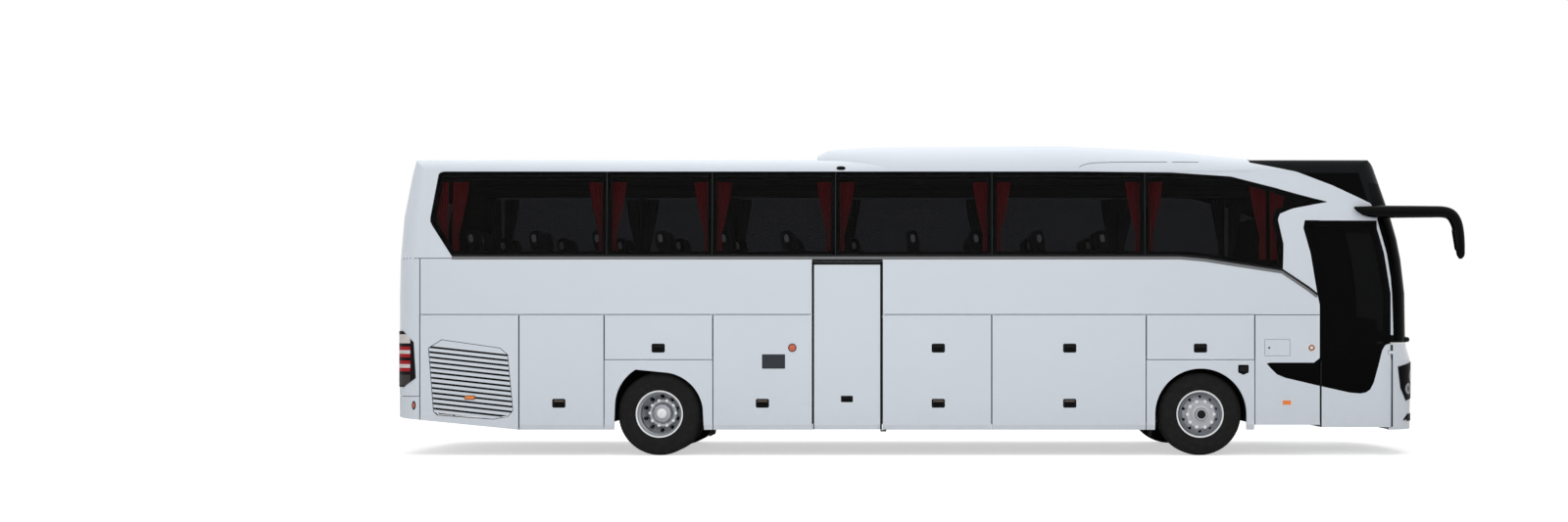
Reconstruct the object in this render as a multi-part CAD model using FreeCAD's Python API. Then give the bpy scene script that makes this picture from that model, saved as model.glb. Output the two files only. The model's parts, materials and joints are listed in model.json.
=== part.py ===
"""Two-axle touring coach as an assembly of separate named pieces, in millimetres.

The coach heads along +X, its right-hand (door) side faces -Y and +Z is up, with the ground at z = 0.
Stations along it are counted from the middle of the body. At the end everything is moved so that the
origin lies on the ground under the centre of the whole outline, mirror arms included.
"""

import FreeCAD
import Part
import math
import os

Vec = FreeCAD.Vector

# Outline of the body
REAR_X = -6540.0
FRONT_X = 6500.0
HALF_WIDTH = 1275.0
SKIRT_Z = 327.0
BEVEL_Z = 390.0
BEVEL_IN = 20.0
BELT_Z = 2480.0
LEAN_DEG = 1.8
ROOF_EDGE_R = 145.0
ROOF_EDGE_Y = HALF_WIDTH - 180
ROOF_EDGE_Z = 3592.0
ROOF_CROWN_R = 12000.0
DEPART_X = -4904.0
DEPART_Z = 490.0
MIRROR_TIP_X = FRONT_X + 460

# Thicknesses and gaps
WALL = 60.0
SKIN = 35.0
DOOR_T = 40.0
ROOF_T = 50.0
GLASS_T = 8.0
SEAM = 8.0
SEAT_GAP = 0.3
FAR = HALF_WIDTH + 725

# Wheels and axles
REAR_AXLE_X = -3150.0
FRONT_AXLE_X = 3660.0
TYRE_R = 522.0
TYRE_W = 295.0
RIM_R = 286.0
WHEEL_Y = 1085.0
TWIN_PITCH = 335.0
KING_PIN_Y = 925.0
KING_PIN_R = 24.0
SPINDLE_R = 45.0

# Seams of the lower side panels, from the rear corner to the front door
PANEL_X = [-6150.0, -4904.0, -3834.0, -2470.0, -1218.0, -341.0, 1033.0, 2974.0, 4335.0, 5159.0]
FLAP_TOP_Z = 1768.0
WHEEL_SEAM_Z = 1209.0
HINGE_R = 5.0
HINGE_END = 40.0

# Side windows
GLASS_LOW_Z = 2516.0
GLASS_TOP_Z = 3577.0
PILLAR = 110.0
DIVIDER_X = [-3803.0, -2478.0, -929.0, 1037.0, 2958.0]
REAR_ZONE_X = -6050.0

# Doors
DOOR_REAR_X = 5159.0
DOOR_FRONT_X = 6049.0
DOOR_LOW_Z = 360.0
DOOR_TOP_Z = 2955.0
DOOR_GLASS_LOW_Z = 1240.0
DOOR_PIN_R = 6.0
DOOR_PIN_X = DOOR_FRONT_X - 20
DOOR_PIN_Y = -HALF_WIDTH + 25
DOOR_LUG_Z = 1300.0
MID_DOOR_LOW_Z = 330.0
MID_DOOR_TOP_Z = 2440.0
MID_PIN_X = PANEL_X[5] - SEAM / 2 - 12
MID_PIN_Y = -HALF_WIDTH + 9

# Floors, luggage bay and frame
FLOOR_Z = 1680.0
FLOOR_T = 50.0
CAB_FLOOR_Z = 1000.0
BAY_FLOOR_Z = 400.0
BAY_REAR_X = -2450.0
BAY_FRONT_X = 2950.0
RAIL_Y = 420.0
RAIL_W = 80.0
FRONT_RAIL_Z = TYRE_R + 150
REAR_RAIL_Z = TYRE_R + 230

ORIGIN_X = (REAR_X + MIRROR_TIP_X) / 2
FRONT_ZONE_X = DOOR_REAR_X - SEAM + SEAT_GAP

parts = {}


# ---------------------------------------------------------------- small helpers
def box(x0, x1, y0, y1, z0, z1):
    return Part.makeBox(x1 - x0, y1 - y0, z1 - z0, Vec(x0, y0, z0))


def side_box(way, x0, x1, y0, y1, z0, z1):
    """A box between two distances from the middle plane; way is -1 on the right, 1 on the left."""
    low, high = sorted([way * y0, way * y1])
    return box(x0, x1, low, high, z0, z1)


def face(points):
    return Part.Face(Part.makePolygon([Vec(*p) for p in points] + [Vec(*points[0])]))


def prism_xz(points, y0, y1):
    return face([(x, y0, z) for x, z in points]).extrude(Vec(0, y1 - y0, 0))


def prism_yz(points, x0, x1):
    return face([(x0, y, z) for y, z in points]).extrude(Vec(x1 - x0, 0, 0))


def cylinder(x, y, z, r, length, axis):
    return Part.makeCylinder(r, length, Vec(x, y, z), Vec(*axis))


def mirrored(shape):
    return shape.mirror(Vec(0, 0, 0), Vec(0, 1, 0))


def join(shapes):
    if len(shapes) == 1:
        return shapes[0]
    return shapes[0].multiFuse(shapes[1:])


def line(a, b):
    return Part.LineSegment(Vec(*a), Vec(*b)).toShape()


def arc(a, b, c):
    return Part.Arc(Vec(*a), Vec(*b), Vec(*c)).toShape()


def add(name, shape):
    parts[name] = shape


# ---------------------------------------------------------------- outer form of the body
def side_y(z):
    """Half width of the outside of the body at a height: upright to the belt, then leaning in."""
    if z <= BELT_Z:
        return HALF_WIDTH
    return HALF_WIDTH - (z - BELT_Z) * math.tan(math.radians(LEAN_DEG))


def edge_points(depth):
    """Ends and middle of the rounded roof edge, and the height of the roof's crown."""
    r = ROOF_EDGE_R - depth
    lean = math.radians(LEAN_DEG)
    slope = math.asin(ROOF_EDGE_Y / (ROOF_CROWN_R - ROOF_EDGE_R))
    low = (ROOF_EDGE_Y + r * math.cos(lean), ROOF_EDGE_Z + r * math.sin(lean))
    turn = (lean + math.pi / 2 - slope) / 2
    mid = (ROOF_EDGE_Y + r * math.cos(turn), ROOF_EDGE_Z + r * math.sin(turn))
    top = (ROOF_EDGE_Y + r * math.sin(slope), ROOF_EDGE_Z + r * math.cos(slope))
    centre_z = ROOF_EDGE_Z - (ROOF_CROWN_R - ROOF_EDGE_R) * math.cos(slope)
    return low, mid, top, centre_z + ROOF_CROWN_R - depth


ROOF_Z = edge_points(0.0)[3]


def section_prism(x0, x1, depth):
    """The body's cross section, a depth inside its outer skin, drawn out between two stations."""
    w = HALF_WIDTH - depth
    low, mid, top, crown_z = edge_points(depth)
    z0 = SKIRT_Z + depth
    edges = [
        line((x0, -w, z0), (x0, w, z0)),
        line((x0, w, z0), (x0, w, BELT_Z)),
        line((x0, w, BELT_Z), (x0, low[0], low[1])),
        arc((x0, low[0], low[1]), (x0, mid[0], mid[1]), (x0, top[0], top[1])),
        arc((x0, top[0], top[1]), (x0, 0, crown_z), (x0, -top[0], top[1])),
        arc((x0, -top[0], top[1]), (x0, -mid[0], mid[1]), (x0, -low[0], low[1])),
        line((x0, -low[0], low[1]), (x0, -w, BELT_Z)),
        line((x0, -w, BELT_Z), (x0, -w, z0)),
    ]
    return Part.Face(Part.Wire(edges)).extrude(Vec(x1 - x0, 0, 0))


# Rows of the rounded ends: height, distance of the end from the body's middle, corner radius
FRONT_ROWS = [
    (SKIRT_Z, FRONT_X, 500.0),
    (1200.0, FRONT_X + 5, 500.0),
    (1370.0, FRONT_X - 50, 480.0),
    (1480.0, FRONT_X - 60, 480.0),
    (2050.0, FRONT_X - 70, 470.0),
    (BELT_Z, FRONT_X - 122, 450.0),
    (2740.0, FRONT_X - 174, 430.0),
    (3010.0, FRONT_X - 252, 410.0),
    (3270.0, FRONT_X - 344, 390.0),
    (3540.0, FRONT_X - 440, 370.0),
    (ROOF_Z + 20, FRONT_X - 535, 350.0),
]
REAR_ROWS = [
    (SKIRT_Z, -REAR_X, 300.0),
    (2050.0, -REAR_X, 300.0),
    (BELT_Z, -REAR_X - 13, 290.0),
    (3010.0, -REAR_X - 60, 260.0),
    (3540.0, -REAR_X - 170, 210.0),
    (ROOF_Z + 20, -REAR_X - 250, 155.0),
]
# Per end: rows, radius of the end's crown in plan, start and radius of the roof's end rounding
ENDS = {
    "front": (FRONT_ROWS, 4500.0, FRONT_X - 920, 440.0),
    "rear": (REAR_ROWS, 9000.0, -REAR_X - 470, 300.0),
}
ROOF_END_TURN_DEG = 60.0


def end_wire(base_x, row, depth, crown_r):
    """Plan outline of an end at one height: flat sides, rounded corners and a slightly crowned end."""
    z, end_x, corner_r = row
    w = side_y(z) - depth
    end = end_x - depth
    r = corner_r - depth
    crown = crown_r - depth
    span = w - r
    centre_x = end - crown + math.sqrt((crown - r) ** 2 - span**2)
    angle = math.asin(span / (crown - r))
    turn = (angle + math.pi / 2) / 2
    tip = (end - crown + crown * math.cos(angle), crown * math.sin(angle))
    bend = (centre_x + r * math.cos(turn), span + r * math.sin(turn))
    edges = [
        line((base_x, -w, z), (centre_x, -w, z)),
        arc((centre_x, -w, z), (bend[0], -bend[1], z), (tip[0], -tip[1], z)),
        arc((tip[0], -tip[1], z), (end, 0, z), (tip[0], tip[1], z)),
        arc((tip[0], tip[1], z), (bend[0], bend[1], z), (centre_x, w, z)),
        line((centre_x, w, z), (base_x, w, z)),
        line((base_x, w, z), (base_x, -w, z)),
    ]
    return Part.Wire(edges)


def end_block(which, depth, base=None):
    """One rounded end of the body as a solid, a depth inside its outer skin."""
    rows, crown_r, roof_start, roof_r = ENDS[which]
    base_x = base or (FRONT_ZONE_X if which == "front" else -REAR_ZONE_X + SEAT_GAP)
    low_row = (rows[0][0] + depth,) + rows[0][1:]
    wires = [end_wire(base_x, row, depth, crown_r) for row in [low_row] + rows[1:]]
    block = Part.makeLoft(wires, True, True)
    r = roof_r - depth
    top = ROOF_Z - depth
    turn = math.radians(ROOF_END_TURN_DEG)
    bend = (roof_start + r * math.sin(turn / 2), top - r + r * math.cos(turn / 2))
    tip = (roof_start + r * math.sin(turn), top - r + r * math.cos(turn))
    foot = (tip[0] + tip[1] / math.tan(turn), 0.0)
    back = base_x - 10
    edges = [
        line((back, -FAR, 0), (back, -FAR, top)),
        line((back, -FAR, top), (roof_start, -FAR, top)),
        arc((roof_start, -FAR, top), (bend[0], -FAR, bend[1]), (tip[0], -FAR, tip[1])),
        line((tip[0], -FAR, tip[1]), (foot[0], -FAR, foot[1])),
        line((foot[0], -FAR, foot[1]), (back, -FAR, 0)),
    ]
    profile = Part.Face(Part.Wire(edges)).extrude(Vec(0, 2 * FAR, 0))
    block = block.common(profile).common(section_prism(back, back + 3000, depth))
    if which == "rear":
        block.rotate(Vec(0, 0, 0), Vec(0, 0, 1), 180)
    return block


def end_shell(which, depth0, depth1):
    return end_block(which, depth0).cut(end_block(which, depth1))


def departure_cut():
    """The space under the rear overhang that the skirt rises clear of."""
    rear = REAR_X - 200
    z = SKIRT_Z + (DEPART_Z - SKIRT_Z) * (DEPART_X - rear) / (DEPART_X - REAR_X)
    return prism_xz([(DEPART_X, 0.0), (DEPART_X, SKIRT_Z), (rear, z), (rear, 0.0)], -FAR, FAR)


def wall_band(x0, x1, z0, z1, depth0, depth1):
    """A strip of the right-hand side between two depths inside the outer skin."""
    rows = sorted({z0, z1} | ({BELT_Z} if z0 < BELT_Z < z1 else set()))
    outer = [(-side_y(z) + depth0, z) for z in rows]
    inner = [(-side_y(z) + depth1, z) for z in reversed(rows)]
    return prism_yz(outer + inner, x0, x1)


# ---------------------------------------------------------------- lower side flaps
# Name, rear and front seam (places in PANEL_X), low edge, and whether it has the skirt's bevel
RIGHT_FLAPS = [
    ("engine_flap_right", 0, 1, SKIRT_Z, False),
    ("service_flap_right", 1, 2, SKIRT_Z, True),
    ("rear_wheel_flap_right", 2, 3, WHEEL_SEAM_Z + SEAM / 2, False),
    ("rear_luggage_flap_right", 3, 4, SKIRT_Z, True),
    ("mid_luggage_flap_right", 5, 6, SKIRT_Z, True),
    ("front_luggage_flap_right", 6, 7, SKIRT_Z, True),
    ("front_wheel_flap_right", 7, 8, WHEEL_SEAM_Z + SEAM / 2, False),
]
LEFT_FLAPS = [
    ("engine_flap_left", 0, 1, SKIRT_Z, False),
    ("service_flap_left", 1, 2, SKIRT_Z, True),
    ("rear_wheel_flap_left", 2, 3, WHEEL_SEAM_Z + SEAM / 2, False),
    ("rear_luggage_flap_left", 3, 5, SKIRT_Z, True),
    ("mid_luggage_flap_left", 5, 6, SKIRT_Z, True),
    ("front_luggage_flap_left", 6, 7, SKIRT_Z, True),
    ("front_wheel_flap_left", 7, 8, WHEEL_SEAM_Z + SEAM / 2, False),
]
# Recessed handles in the right-hand flaps: flap, station, height
HANDLE_W = 148.0
HANDLE_H = 92.0
HANDLE_DEEP = 18.0
HANDLE_LOW_Z = 661.0
HANDLE_HIGH_Z = 1354.0
HANDLES = [
    ("service_flap", -4402.0, HANDLE_LOW_Z),
    ("rear_wheel_flap", -3154.0, HANDLE_HIGH_Z),
    ("rear_luggage_flap", -1846.0, HANDLE_LOW_Z),
    ("rear_luggage_flap_left", -960.0, HANDLE_LOW_Z),
    ("mid_luggage_flap", 362.0, HANDLE_LOW_Z),
    ("mid_luggage_flap", 362.0, HANDLE_HIGH_Z),
    ("front_luggage_flap", 2012.0, HANDLE_LOW_Z),
    ("front_luggage_flap", 2012.0, HANDLE_HIGH_Z),
    ("front_wheel_flap", 3653.0, HANDLE_HIGH_Z),
]

# Louvred grille of the engine flaps: outline (station, height) and its blades
GRILLE_OUTLINE = [
    (-6043.0, 1358.0),
    (-5873.0, 1463.0),
    (-5139.0, 1358.0),
    (-5041.0, 1273.0),
    (-4975.0, 567.0),
    (-5041.0, 490.0),
    (-5228.0, 456.0),
    (-5929.0, 508.0),
    (-5980.0, 552.0),
]
TOP_SLOT_Z = 1314.0
BLADES = 13
BLADE_PITCH = 63.9
BLADE_FACE = 38.0
BLADE_T = 5.0
BLADE_FALL_DEG = 6.2
VANE_RISE = 21.0
GRILLE_DEEP = 25.0
GRILLE_RIM = 9.0


def grown(outline, margin):
    """An outline drawn in (negative) or out about its middle by a margin."""
    wire = Part.makePolygon([Vec(x, 0, z) for x, z in outline] + [Vec(outline[0][0], 0, outline[0][1])])
    return [(p.X, p.Z) for p in wire.makeOffset2D(margin, 2).OrderedVertexes]


def grille_blades():
    """Louvre blades under a plain head plate: each has an upright face and a vane that rises inwards."""
    middle_x = (PANEL_X[0] + PANEL_X[1]) / 2
    outer = -HALF_WIDTH + 2
    first, last = middle_x - 800, middle_x + 800
    half = BLADE_FACE / 2
    head_z = TOP_SLOT_Z + BLADE_PITCH / 2 - half
    head_top = head_z + 300
    head = [(outer, head_z), (outer, head_top), (outer + BLADE_T, head_top), (outer + BLADE_T, head_z)]
    sections = [(head_z, head)]
    for i in range(BLADES):
        z = TOP_SLOT_Z - BLADE_PITCH * (i + 0.5)
        vane_z = z - half + VANE_RISE
        blade = [
            (outer, z + half),
            (outer, z - half),
            (outer + GRILLE_DEEP, vane_z),
            (outer + GRILLE_DEEP, vane_z + BLADE_T),
            (outer + BLADE_T, z - half + 2 * BLADE_T),
            (outer + BLADE_T, z + half),
        ]
        sections.append((z, blade))
    pieces = []
    for z, section in sections:
        piece = prism_yz(section, first, last)
        piece.rotate(Vec(middle_x, 0, z), Vec(0, 1, 0), BLADE_FALL_DEG)
        pieces.append(piece)
    back = outer + GRILLE_DEEP
    for x in (middle_x - 200, middle_x + 200):
        pieces.append(box(x - 12, x + 12, back - 2, back + 6, 400, 1600))
    opening = prism_xz(grown(GRILLE_OUTLINE, 1 - GRILLE_RIM), -HALF_WIDTH, -HALF_WIDTH + SKIN)
    return join(pieces).common(opening)


def grille_flap(panel):
    """Cut the grille's sunk frame and its opening in a flap, and fill them with the blades."""
    frame = prism_xz(GRILLE_OUTLINE, -HALF_WIDTH - 10, -HALF_WIDTH + 5)
    opening = prism_xz(grown(GRILLE_OUTLINE, -GRILLE_RIM), -FAR, 0)
    return join([panel.cut(join([frame, opening])), grille_blades()])


def flap(row):
    """A lower side flap with its hinge bead along the top edge, on the right-hand side."""
    name, first, last, low, bevelled = row
    x0 = PANEL_X[first]
    x1 = PANEL_X[last]
    top = FLAP_TOP_Z - HINGE_R
    outer = -HALF_WIDTH
    inner = outer + SKIN
    outline = [(outer, low), (outer, top), (inner, top), (inner, low)]
    if bevelled:
        outline[0:1] = [(outer + BEVEL_IN, low), (outer, BEVEL_Z)]
    panel = prism_yz(outline, x0 + SEAM / 2, x1 - SEAM / 2)
    y = outer + HINGE_R
    bead = cylinder(x0 + HINGE_END, y, FLAP_TOP_Z, HINGE_R, x1 - x0 - 2 * HINGE_END, (1, 0, 0))
    web = box(x0 + HINGE_END, x1 - HINGE_END, y - 3, y + HINGE_R, top - 1, FLAP_TOP_Z)
    panel = join([panel, bead, web]).removeSplitter()
    if first == 0:
        panel = grille_flap(panel.cut(departure_cut()))
    for owner, x, z in HANDLES:
        if name.startswith(owner):
            w = HANDLE_W / 2
            h = HANDLE_H / 2
            panel = panel.cut(box(x - w, x + w, outer - 1, outer + HANDLE_DEEP, z - h, z + h))
    return panel


def hinge_lug(x0, x1, way):
    """A lug below the wall's edge that carries the end of a flap's hinge line."""
    y = way * (HALF_WIDTH - HINGE_R)
    stub = cylinder(x0, y, FLAP_TOP_Z, HINGE_R, x1 - x0, (1, 0, 0))
    outer = HALF_WIDTH - HINGE_R
    web = side_box(way, x0, x1, outer - SKIN, outer, FLAP_TOP_Z - 2, FLAP_TOP_Z + SEAM)
    return stub.fuse(web)


def wall_lugs(rows, way):
    """Hinge lugs of a side wall: all but the rearmost one, which the rear wall carries."""
    lugs = []
    for name, first, last, low, bevelled in rows:
        x0 = PANEL_X[first]
        x1 = PANEL_X[last]
        if first > 0:
            lugs.append(hinge_lug(x0 + SEAM / 2, x0 + HINGE_END - SEAT_GAP, way))
        lugs.append(hinge_lug(x1 - HINGE_END + SEAT_GAP, x1 - SEAM / 2, way))
    return lugs


# ---------------------------------------------------------------- side walls and their glass
# Front end of the right-hand window band, where the white pillar and roof shoulder cut into it:
# (station, height), from the belt round to the top edge
BAND_FRONT = [
    (3520.0, GLASS_LOW_Z),
    (4690.0, 2350.0),
    (4699.0, 2663.0),
    (4631.0, 2971.0),
    (4662.0, 3057.0),
    (4834.0, 3113.0),
    (5120.0, 3168.0),
    (4631.0, 3364.0),
    (4040.0, 3515.0),
    (3300.0, 3565.0),
]
# Rear end of the window band, from the top edge round to the belt
BAND_REAR = [
    (-5856.0, GLASS_TOP_Z),
    (-5897.0, 3566.0),
    (-5921.0, 3545.0),
    (-5927.0, 3518.0),
    (-6019.0, 3005.0),
    (-6022.0, 2948.0),
    (-5998.0, 2896.0),
    (-5754.0, GLASS_LOW_Z),
]
# Rear edge of the front door above the waist: (station, height)
DOOR_REAR_EDGE = [(DOOR_REAR_X, 1900.0), (5129.0, 2036.0), (5043.0, 2552.0), (4957.0, 2865.0)]
# Front edge of the front door above the waist
DOOR_FRONT_EDGE = [(DOOR_FRONT_X, 2036.0), (5960.0, 2552.0), (5870.0, 2865.0)]
BAND_TOP_X = 2100.0


def band_outline():
    return BAND_REAR + [(x, z) for x, z in BAND_FRONT] + [(BAND_TOP_X, GLASS_TOP_Z)]


def window_band():
    """The whole window band as a prism through the right-hand wall."""
    return prism_xz(band_outline(), -FAR, -900)


def divider_slots(width):
    half = width / 2
    return [box(x - half, x + half, -FAR, -900, GLASS_LOW_Z - 200, GLASS_TOP_Z + 50) for x in DIVIDER_X]


def door_outline(margin):
    """The front door's outline, drawn out by a margin at its rear, top and front edges."""
    rear = [(x - margin, z) for x, z in reversed(DOOR_REAR_EDGE)]
    front = [(x + margin, z) for x, z in DOOR_FRONT_EDGE]
    top = DOOR_TOP_Z + margin
    low = DOOR_LOW_Z
    points = [(DOOR_REAR_X - margin, low)] + list(reversed(rear))
    points += [(4975.0 - margin, top), (5873.0 + margin, top)]
    return points + list(reversed(front)) + [(DOOR_FRONT_X + margin, low)]


def plain_side_wall():
    """The right-hand wall above the flaps, with its window openings and the rebate for the glass."""
    low = FLAP_TOP_Z + SEAM
    x0 = REAR_ZONE_X
    x1 = DOOR_REAR_X - SEAM
    wall = wall_band(x0, x1, low, ROOF_EDGE_Z, 0, WALL)
    quarter = wall_band(PANEL_X[8] + SEAM, x1, BEVEL_Z, low, 0, WALL)
    glass_zone = wall_band(x0 - 1, x1 + 1, BELT_Z - 300, GLASS_TOP_Z + 1, -1, GLASS_T + SEAT_GAP)
    rebate = window_band().common(glass_zone)
    openings = prism_xz(grown(band_outline(), -PILLAR / 2), -FAR, -900).cut(join(divider_slots(PILLAR)))
    return join([wall, quarter]).cut(rebate).cut(openings)


def side_panes():
    """Bonded panes that fill the window band, with a narrow joint at each divider."""
    sheet = wall_band(REAR_ZONE_X, DOOR_REAR_X, BELT_Z - 300, GLASS_TOP_Z, 0, GLASS_T)
    band = prism_xz(grown(band_outline(), -SEAM / 2), -FAR, -900)
    return sheet.common(band).cut(join(divider_slots(2 * SEAM)))


# Fuel filler flap in the right-hand quarter panel: rear and front edge, low and high edge
FUEL_FLAP = (4460.0, 4780.0, 1255.0, 1465.0)


def fuel_opening():
    x0, x1, z0, z1 = FUEL_FLAP
    return box(x0, x1, -FAR, -900, z0, z1)


def fuel_flap():
    """A small flap hinged at its front edge; its pivot pins turn in the edge of the opening."""
    x0, x1, z0, z1 = FUEL_FLAP
    outer = -HALF_WIDTH
    plate = box(x0 + 4, x1 - 4, outer, outer + 12, z0 + 4, z1 - 4)
    pivot = cylinder(x1 - 9, outer + 6, z0 + SEAT_GAP, 4.0, z1 - z0 - 2 * SEAT_GAP, (0, 0, 1))
    return plate.fuse(pivot)


def fuel_pocket():
    """The closed pocket behind the filler flap."""
    x0, x1, z0, z1 = FUEL_FLAP
    outer = -HALF_WIDTH
    body = box(x0 - 4, x1 + 4, outer + WALL - 10, outer + WALL + 80, z0 - 4, z1 + 4)
    return body.cut(box(x0, x1, outer, outer + WALL + 76, z0, z1))


def build_sides():
    top_pin = cylinder(MID_PIN_X, MID_PIN_Y, MID_DOOR_TOP_Z - 60, DOOR_PIN_R, 60 + SEAM + 20, (0, 0, 1))
    wall = plain_side_wall()
    opening = box(PANEL_X[4] - SEAM, PANEL_X[5] + SEAM, -FAR, -900, 0, MID_DOOR_TOP_Z + SEAM)
    door_gap = prism_xz(door_outline(SEAM), -FAR, -900)
    bare = wall.cut(join([opening, door_gap, fuel_opening()]))
    add("side_wall_right", join([bare, top_pin, fuel_pocket()] + wall_lugs(RIGHT_FLAPS, -1)))
    add("side_wall_left", join([mirrored(wall)] + wall_lugs(LEFT_FLAPS, 1)))
    add("fuel_flap", fuel_flap())
    for row in RIGHT_FLAPS:
        add(row[0], flap(row))
    for row in LEFT_FLAPS:
        add(row[0], mirrored(flap(row)))


# ---------------------------------------------------------------- middle door
def middle_door():
    """A plain panel door that turns on a pin at the top and bottom of its front edge."""
    outer = -HALF_WIDTH
    outline = [
        (outer + BEVEL_IN, MID_DOOR_LOW_Z),
        (outer, BEVEL_Z),
        (outer, MID_DOOR_TOP_Z),
        (outer + DOOR_T, MID_DOOR_TOP_Z),
        (outer + DOOR_T, MID_DOOR_LOW_Z),
    ]
    door = prism_yz(outline, PANEL_X[4] + SEAM / 2, PANEL_X[5] - SEAM / 2)
    bore_r = DOOR_PIN_R + SEAT_GAP
    deep = 90.0
    low = cylinder(MID_PIN_X, MID_PIN_Y, MID_DOOR_LOW_Z - 1, bore_r, deep, (0, 0, 1))
    top = cylinder(MID_PIN_X, MID_PIN_Y, MID_DOOR_TOP_Z - deep + 1, bore_r, deep, (0, 0, 1))
    grip = box(-860, -710, outer - 1, outer + HANDLE_DEEP, 675, 755)
    add("middle_door", door.cut(join([low, top, grip])))


def middle_door_foot():
    """The lower pin of the middle door on its arm under the luggage bay's edge."""
    low_z = MID_DOOR_LOW_Z - 25
    pin = cylinder(MID_PIN_X, MID_PIN_Y, low_z + 5, DOOR_PIN_R, BEVEL_Z + 10 - low_z, (0, 0, 1))
    arm = box(MID_PIN_X - 9, PANEL_X[5] + 50, MID_PIN_Y - 8, MID_PIN_Y + 60, low_z, MID_DOOR_LOW_Z - SEAM)
    post = box(PANEL_X[5] + 21, PANEL_X[5] + 50, MID_PIN_Y + 40, MID_PIN_Y + 90, low_z, BAY_FLOOR_Z + 10)
    return join([pin, arm, post])


# ---------------------------------------------------------------- wheel panels and housings
FRONT_ARCH_R = 575.0
# Front and rear wheel boxes: rear end, front end, inner side, top
WHEEL_BOXES = [
    (REAR_AXLE_X - 640, REAR_AXLE_X + 640, 545.0, 1110.0),
    (FRONT_AXLE_X - 655, FRONT_AXLE_X + 655, 545.0, 1130.0),
]
HOUSING_T = 6.0
HOUSING_CHAMFER = 220.0
AXLE_SLOT = 135.0


def rear_arch():
    """Outline of the rear arch: a skewed opening that is highest behind the wheel's middle."""
    cx = REAR_AXLE_X
    y = -FAR
    edges = [
        line((cx - 580, y, 0), (cx - 550, y, 630)),
        arc((cx - 550, y, 630), (cx - 470, y, 905), (cx - 290, y, 1085)),
        line((cx - 290, y, 1085), (cx + 60, y, 1050)),
        arc((cx + 60, y, 1050), (cx + 440, y, 860), (cx + 555, y, 600)),
        line((cx + 555, y, 600), (cx + 585, y, 0)),
        line((cx + 585, y, 0), (cx - 580, y, 0)),
    ]
    return Part.Face(Part.Wire(edges)).extrude(Vec(0, FAR, 0))


def front_arch():
    cx = FRONT_AXLE_X
    r = FRONT_ARCH_R
    y = -FAR
    edges = [
        line((cx - r, y, 0), (cx - r, y, TYRE_R)),
        arc((cx - r, y, TYRE_R), (cx, y, TYRE_R + r), (cx + r, y, TYRE_R)),
        line((cx + r, y, TYRE_R), (cx + r, y, 0)),
        line((cx + r, y, 0), (cx - r, y, 0)),
    ]
    return Part.Face(Part.Wire(edges)).extrude(Vec(0, FAR, 0))


def wheel_panel(first, arch):
    outer = -HALF_WIDTH
    top = WHEEL_SEAM_Z - SEAM / 2
    outline = [
        (outer + BEVEL_IN, SKIRT_Z),
        (outer, BEVEL_Z),
        (outer, top),
        (outer + SKIN, top),
        (outer + SKIN, SKIRT_Z),
    ]
    return prism_yz(outline, PANEL_X[first] + SEAM / 2, PANEL_X[first + 1] - SEAM / 2).cut(arch)


def housing(row):
    """A wheel box open below and towards the side, with a slot for the axle."""
    x0, x1, y_in, top = row
    y_out = HALF_WIDTH - SKIN - SEAT_GAP
    low = SKIRT_Z + 80
    c = HOUSING_CHAMFER
    t = HOUSING_T
    outer = [(x0, low), (x0, top - c), (x0 + c, top), (x1 - c, top), (x1, top - c), (x1, low)]
    inner = [
        (x0 + t, low - 1),
        (x0 + t, top - c),
        (x0 + c, top - t),
        (x1 - c, top - t),
        (x1 - t, top - c),
        (x1 - t, low - 1),
    ]
    middle = (x0 + x1) / 2
    slot = box(middle - AXLE_SLOT, middle + AXLE_SLOT, -y_in - 10, -y_in + 10, 0, TYRE_R + AXLE_SLOT)
    return prism_xz(outer, -y_out, -y_in).cut(join([prism_xz(inner, -y_out - 1, -y_in - t), slot]))


def build_wheel_surrounds():
    panels = [wheel_panel(2, rear_arch()), wheel_panel(7, front_arch())]
    add("wheel_panels", Part.makeCompound(panels + [mirrored(p) for p in panels]))
    boxes = [housing(row) for row in WHEEL_BOXES]
    add("wheel_housings", Part.makeCompound(boxes + [mirrored(b) for b in boxes]))


# ---------------------------------------------------------------- roof
# Rows of the roof fairing: station, foot half width and height, shoulder half width and height,
# crown height
FAIRING_ROWS = [
    (-1168.0, 1128.0, 3722.0, 1080.0, 3790.0, 3830.0),
    (-1020.0, 1150.0, 3700.0, 1075.0, 3862.0, 3915.0),
    (-600.0, 1205.0, 3660.0, 1075.0, 3890.0, 3965.0),
    (-230.0, 1244.0, 3600.0, 1080.0, 3900.0, 3978.0),
    (1900.0, 1244.0, 3600.0, 1085.0, 3914.0, 3992.0),
    (3300.0, 1244.0, 3600.0, 1080.0, 3850.0, 3940.0),
    (3900.0, 1244.0, 3600.0, 1080.0, 3785.0, 3872.0),
    (4290.0, 1244.0, 3600.0, 1085.0, 3748.0, 3806.0),
]
FAIRING_SKIRT = 22.0


def fairing_wire(row):
    x, foot_half, foot_z, shoulder_half, shoulder_z, crown_z = row
    bend_y = shoulder_half + 0.72 * (foot_half - shoulder_half)
    bend_z = foot_z + 0.62 * (shoulder_z - foot_z)
    low = foot_z - FAIRING_SKIRT
    edges = [
        line((x, -foot_half, low), (x, foot_half, low)),
        line((x, foot_half, low), (x, foot_half, foot_z)),
        arc((x, foot_half, foot_z), (x, bend_y, bend_z), (x, shoulder_half, shoulder_z)),
        arc((x, shoulder_half, shoulder_z), (x, 0, crown_z), (x, -shoulder_half, shoulder_z)),
        arc((x, -shoulder_half, shoulder_z), (x, -bend_y, bend_z), (x, -foot_half, foot_z)),
        line((x, -foot_half, foot_z), (x, -foot_half, low)),
    ]
    return Part.Wire(edges)


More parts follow.
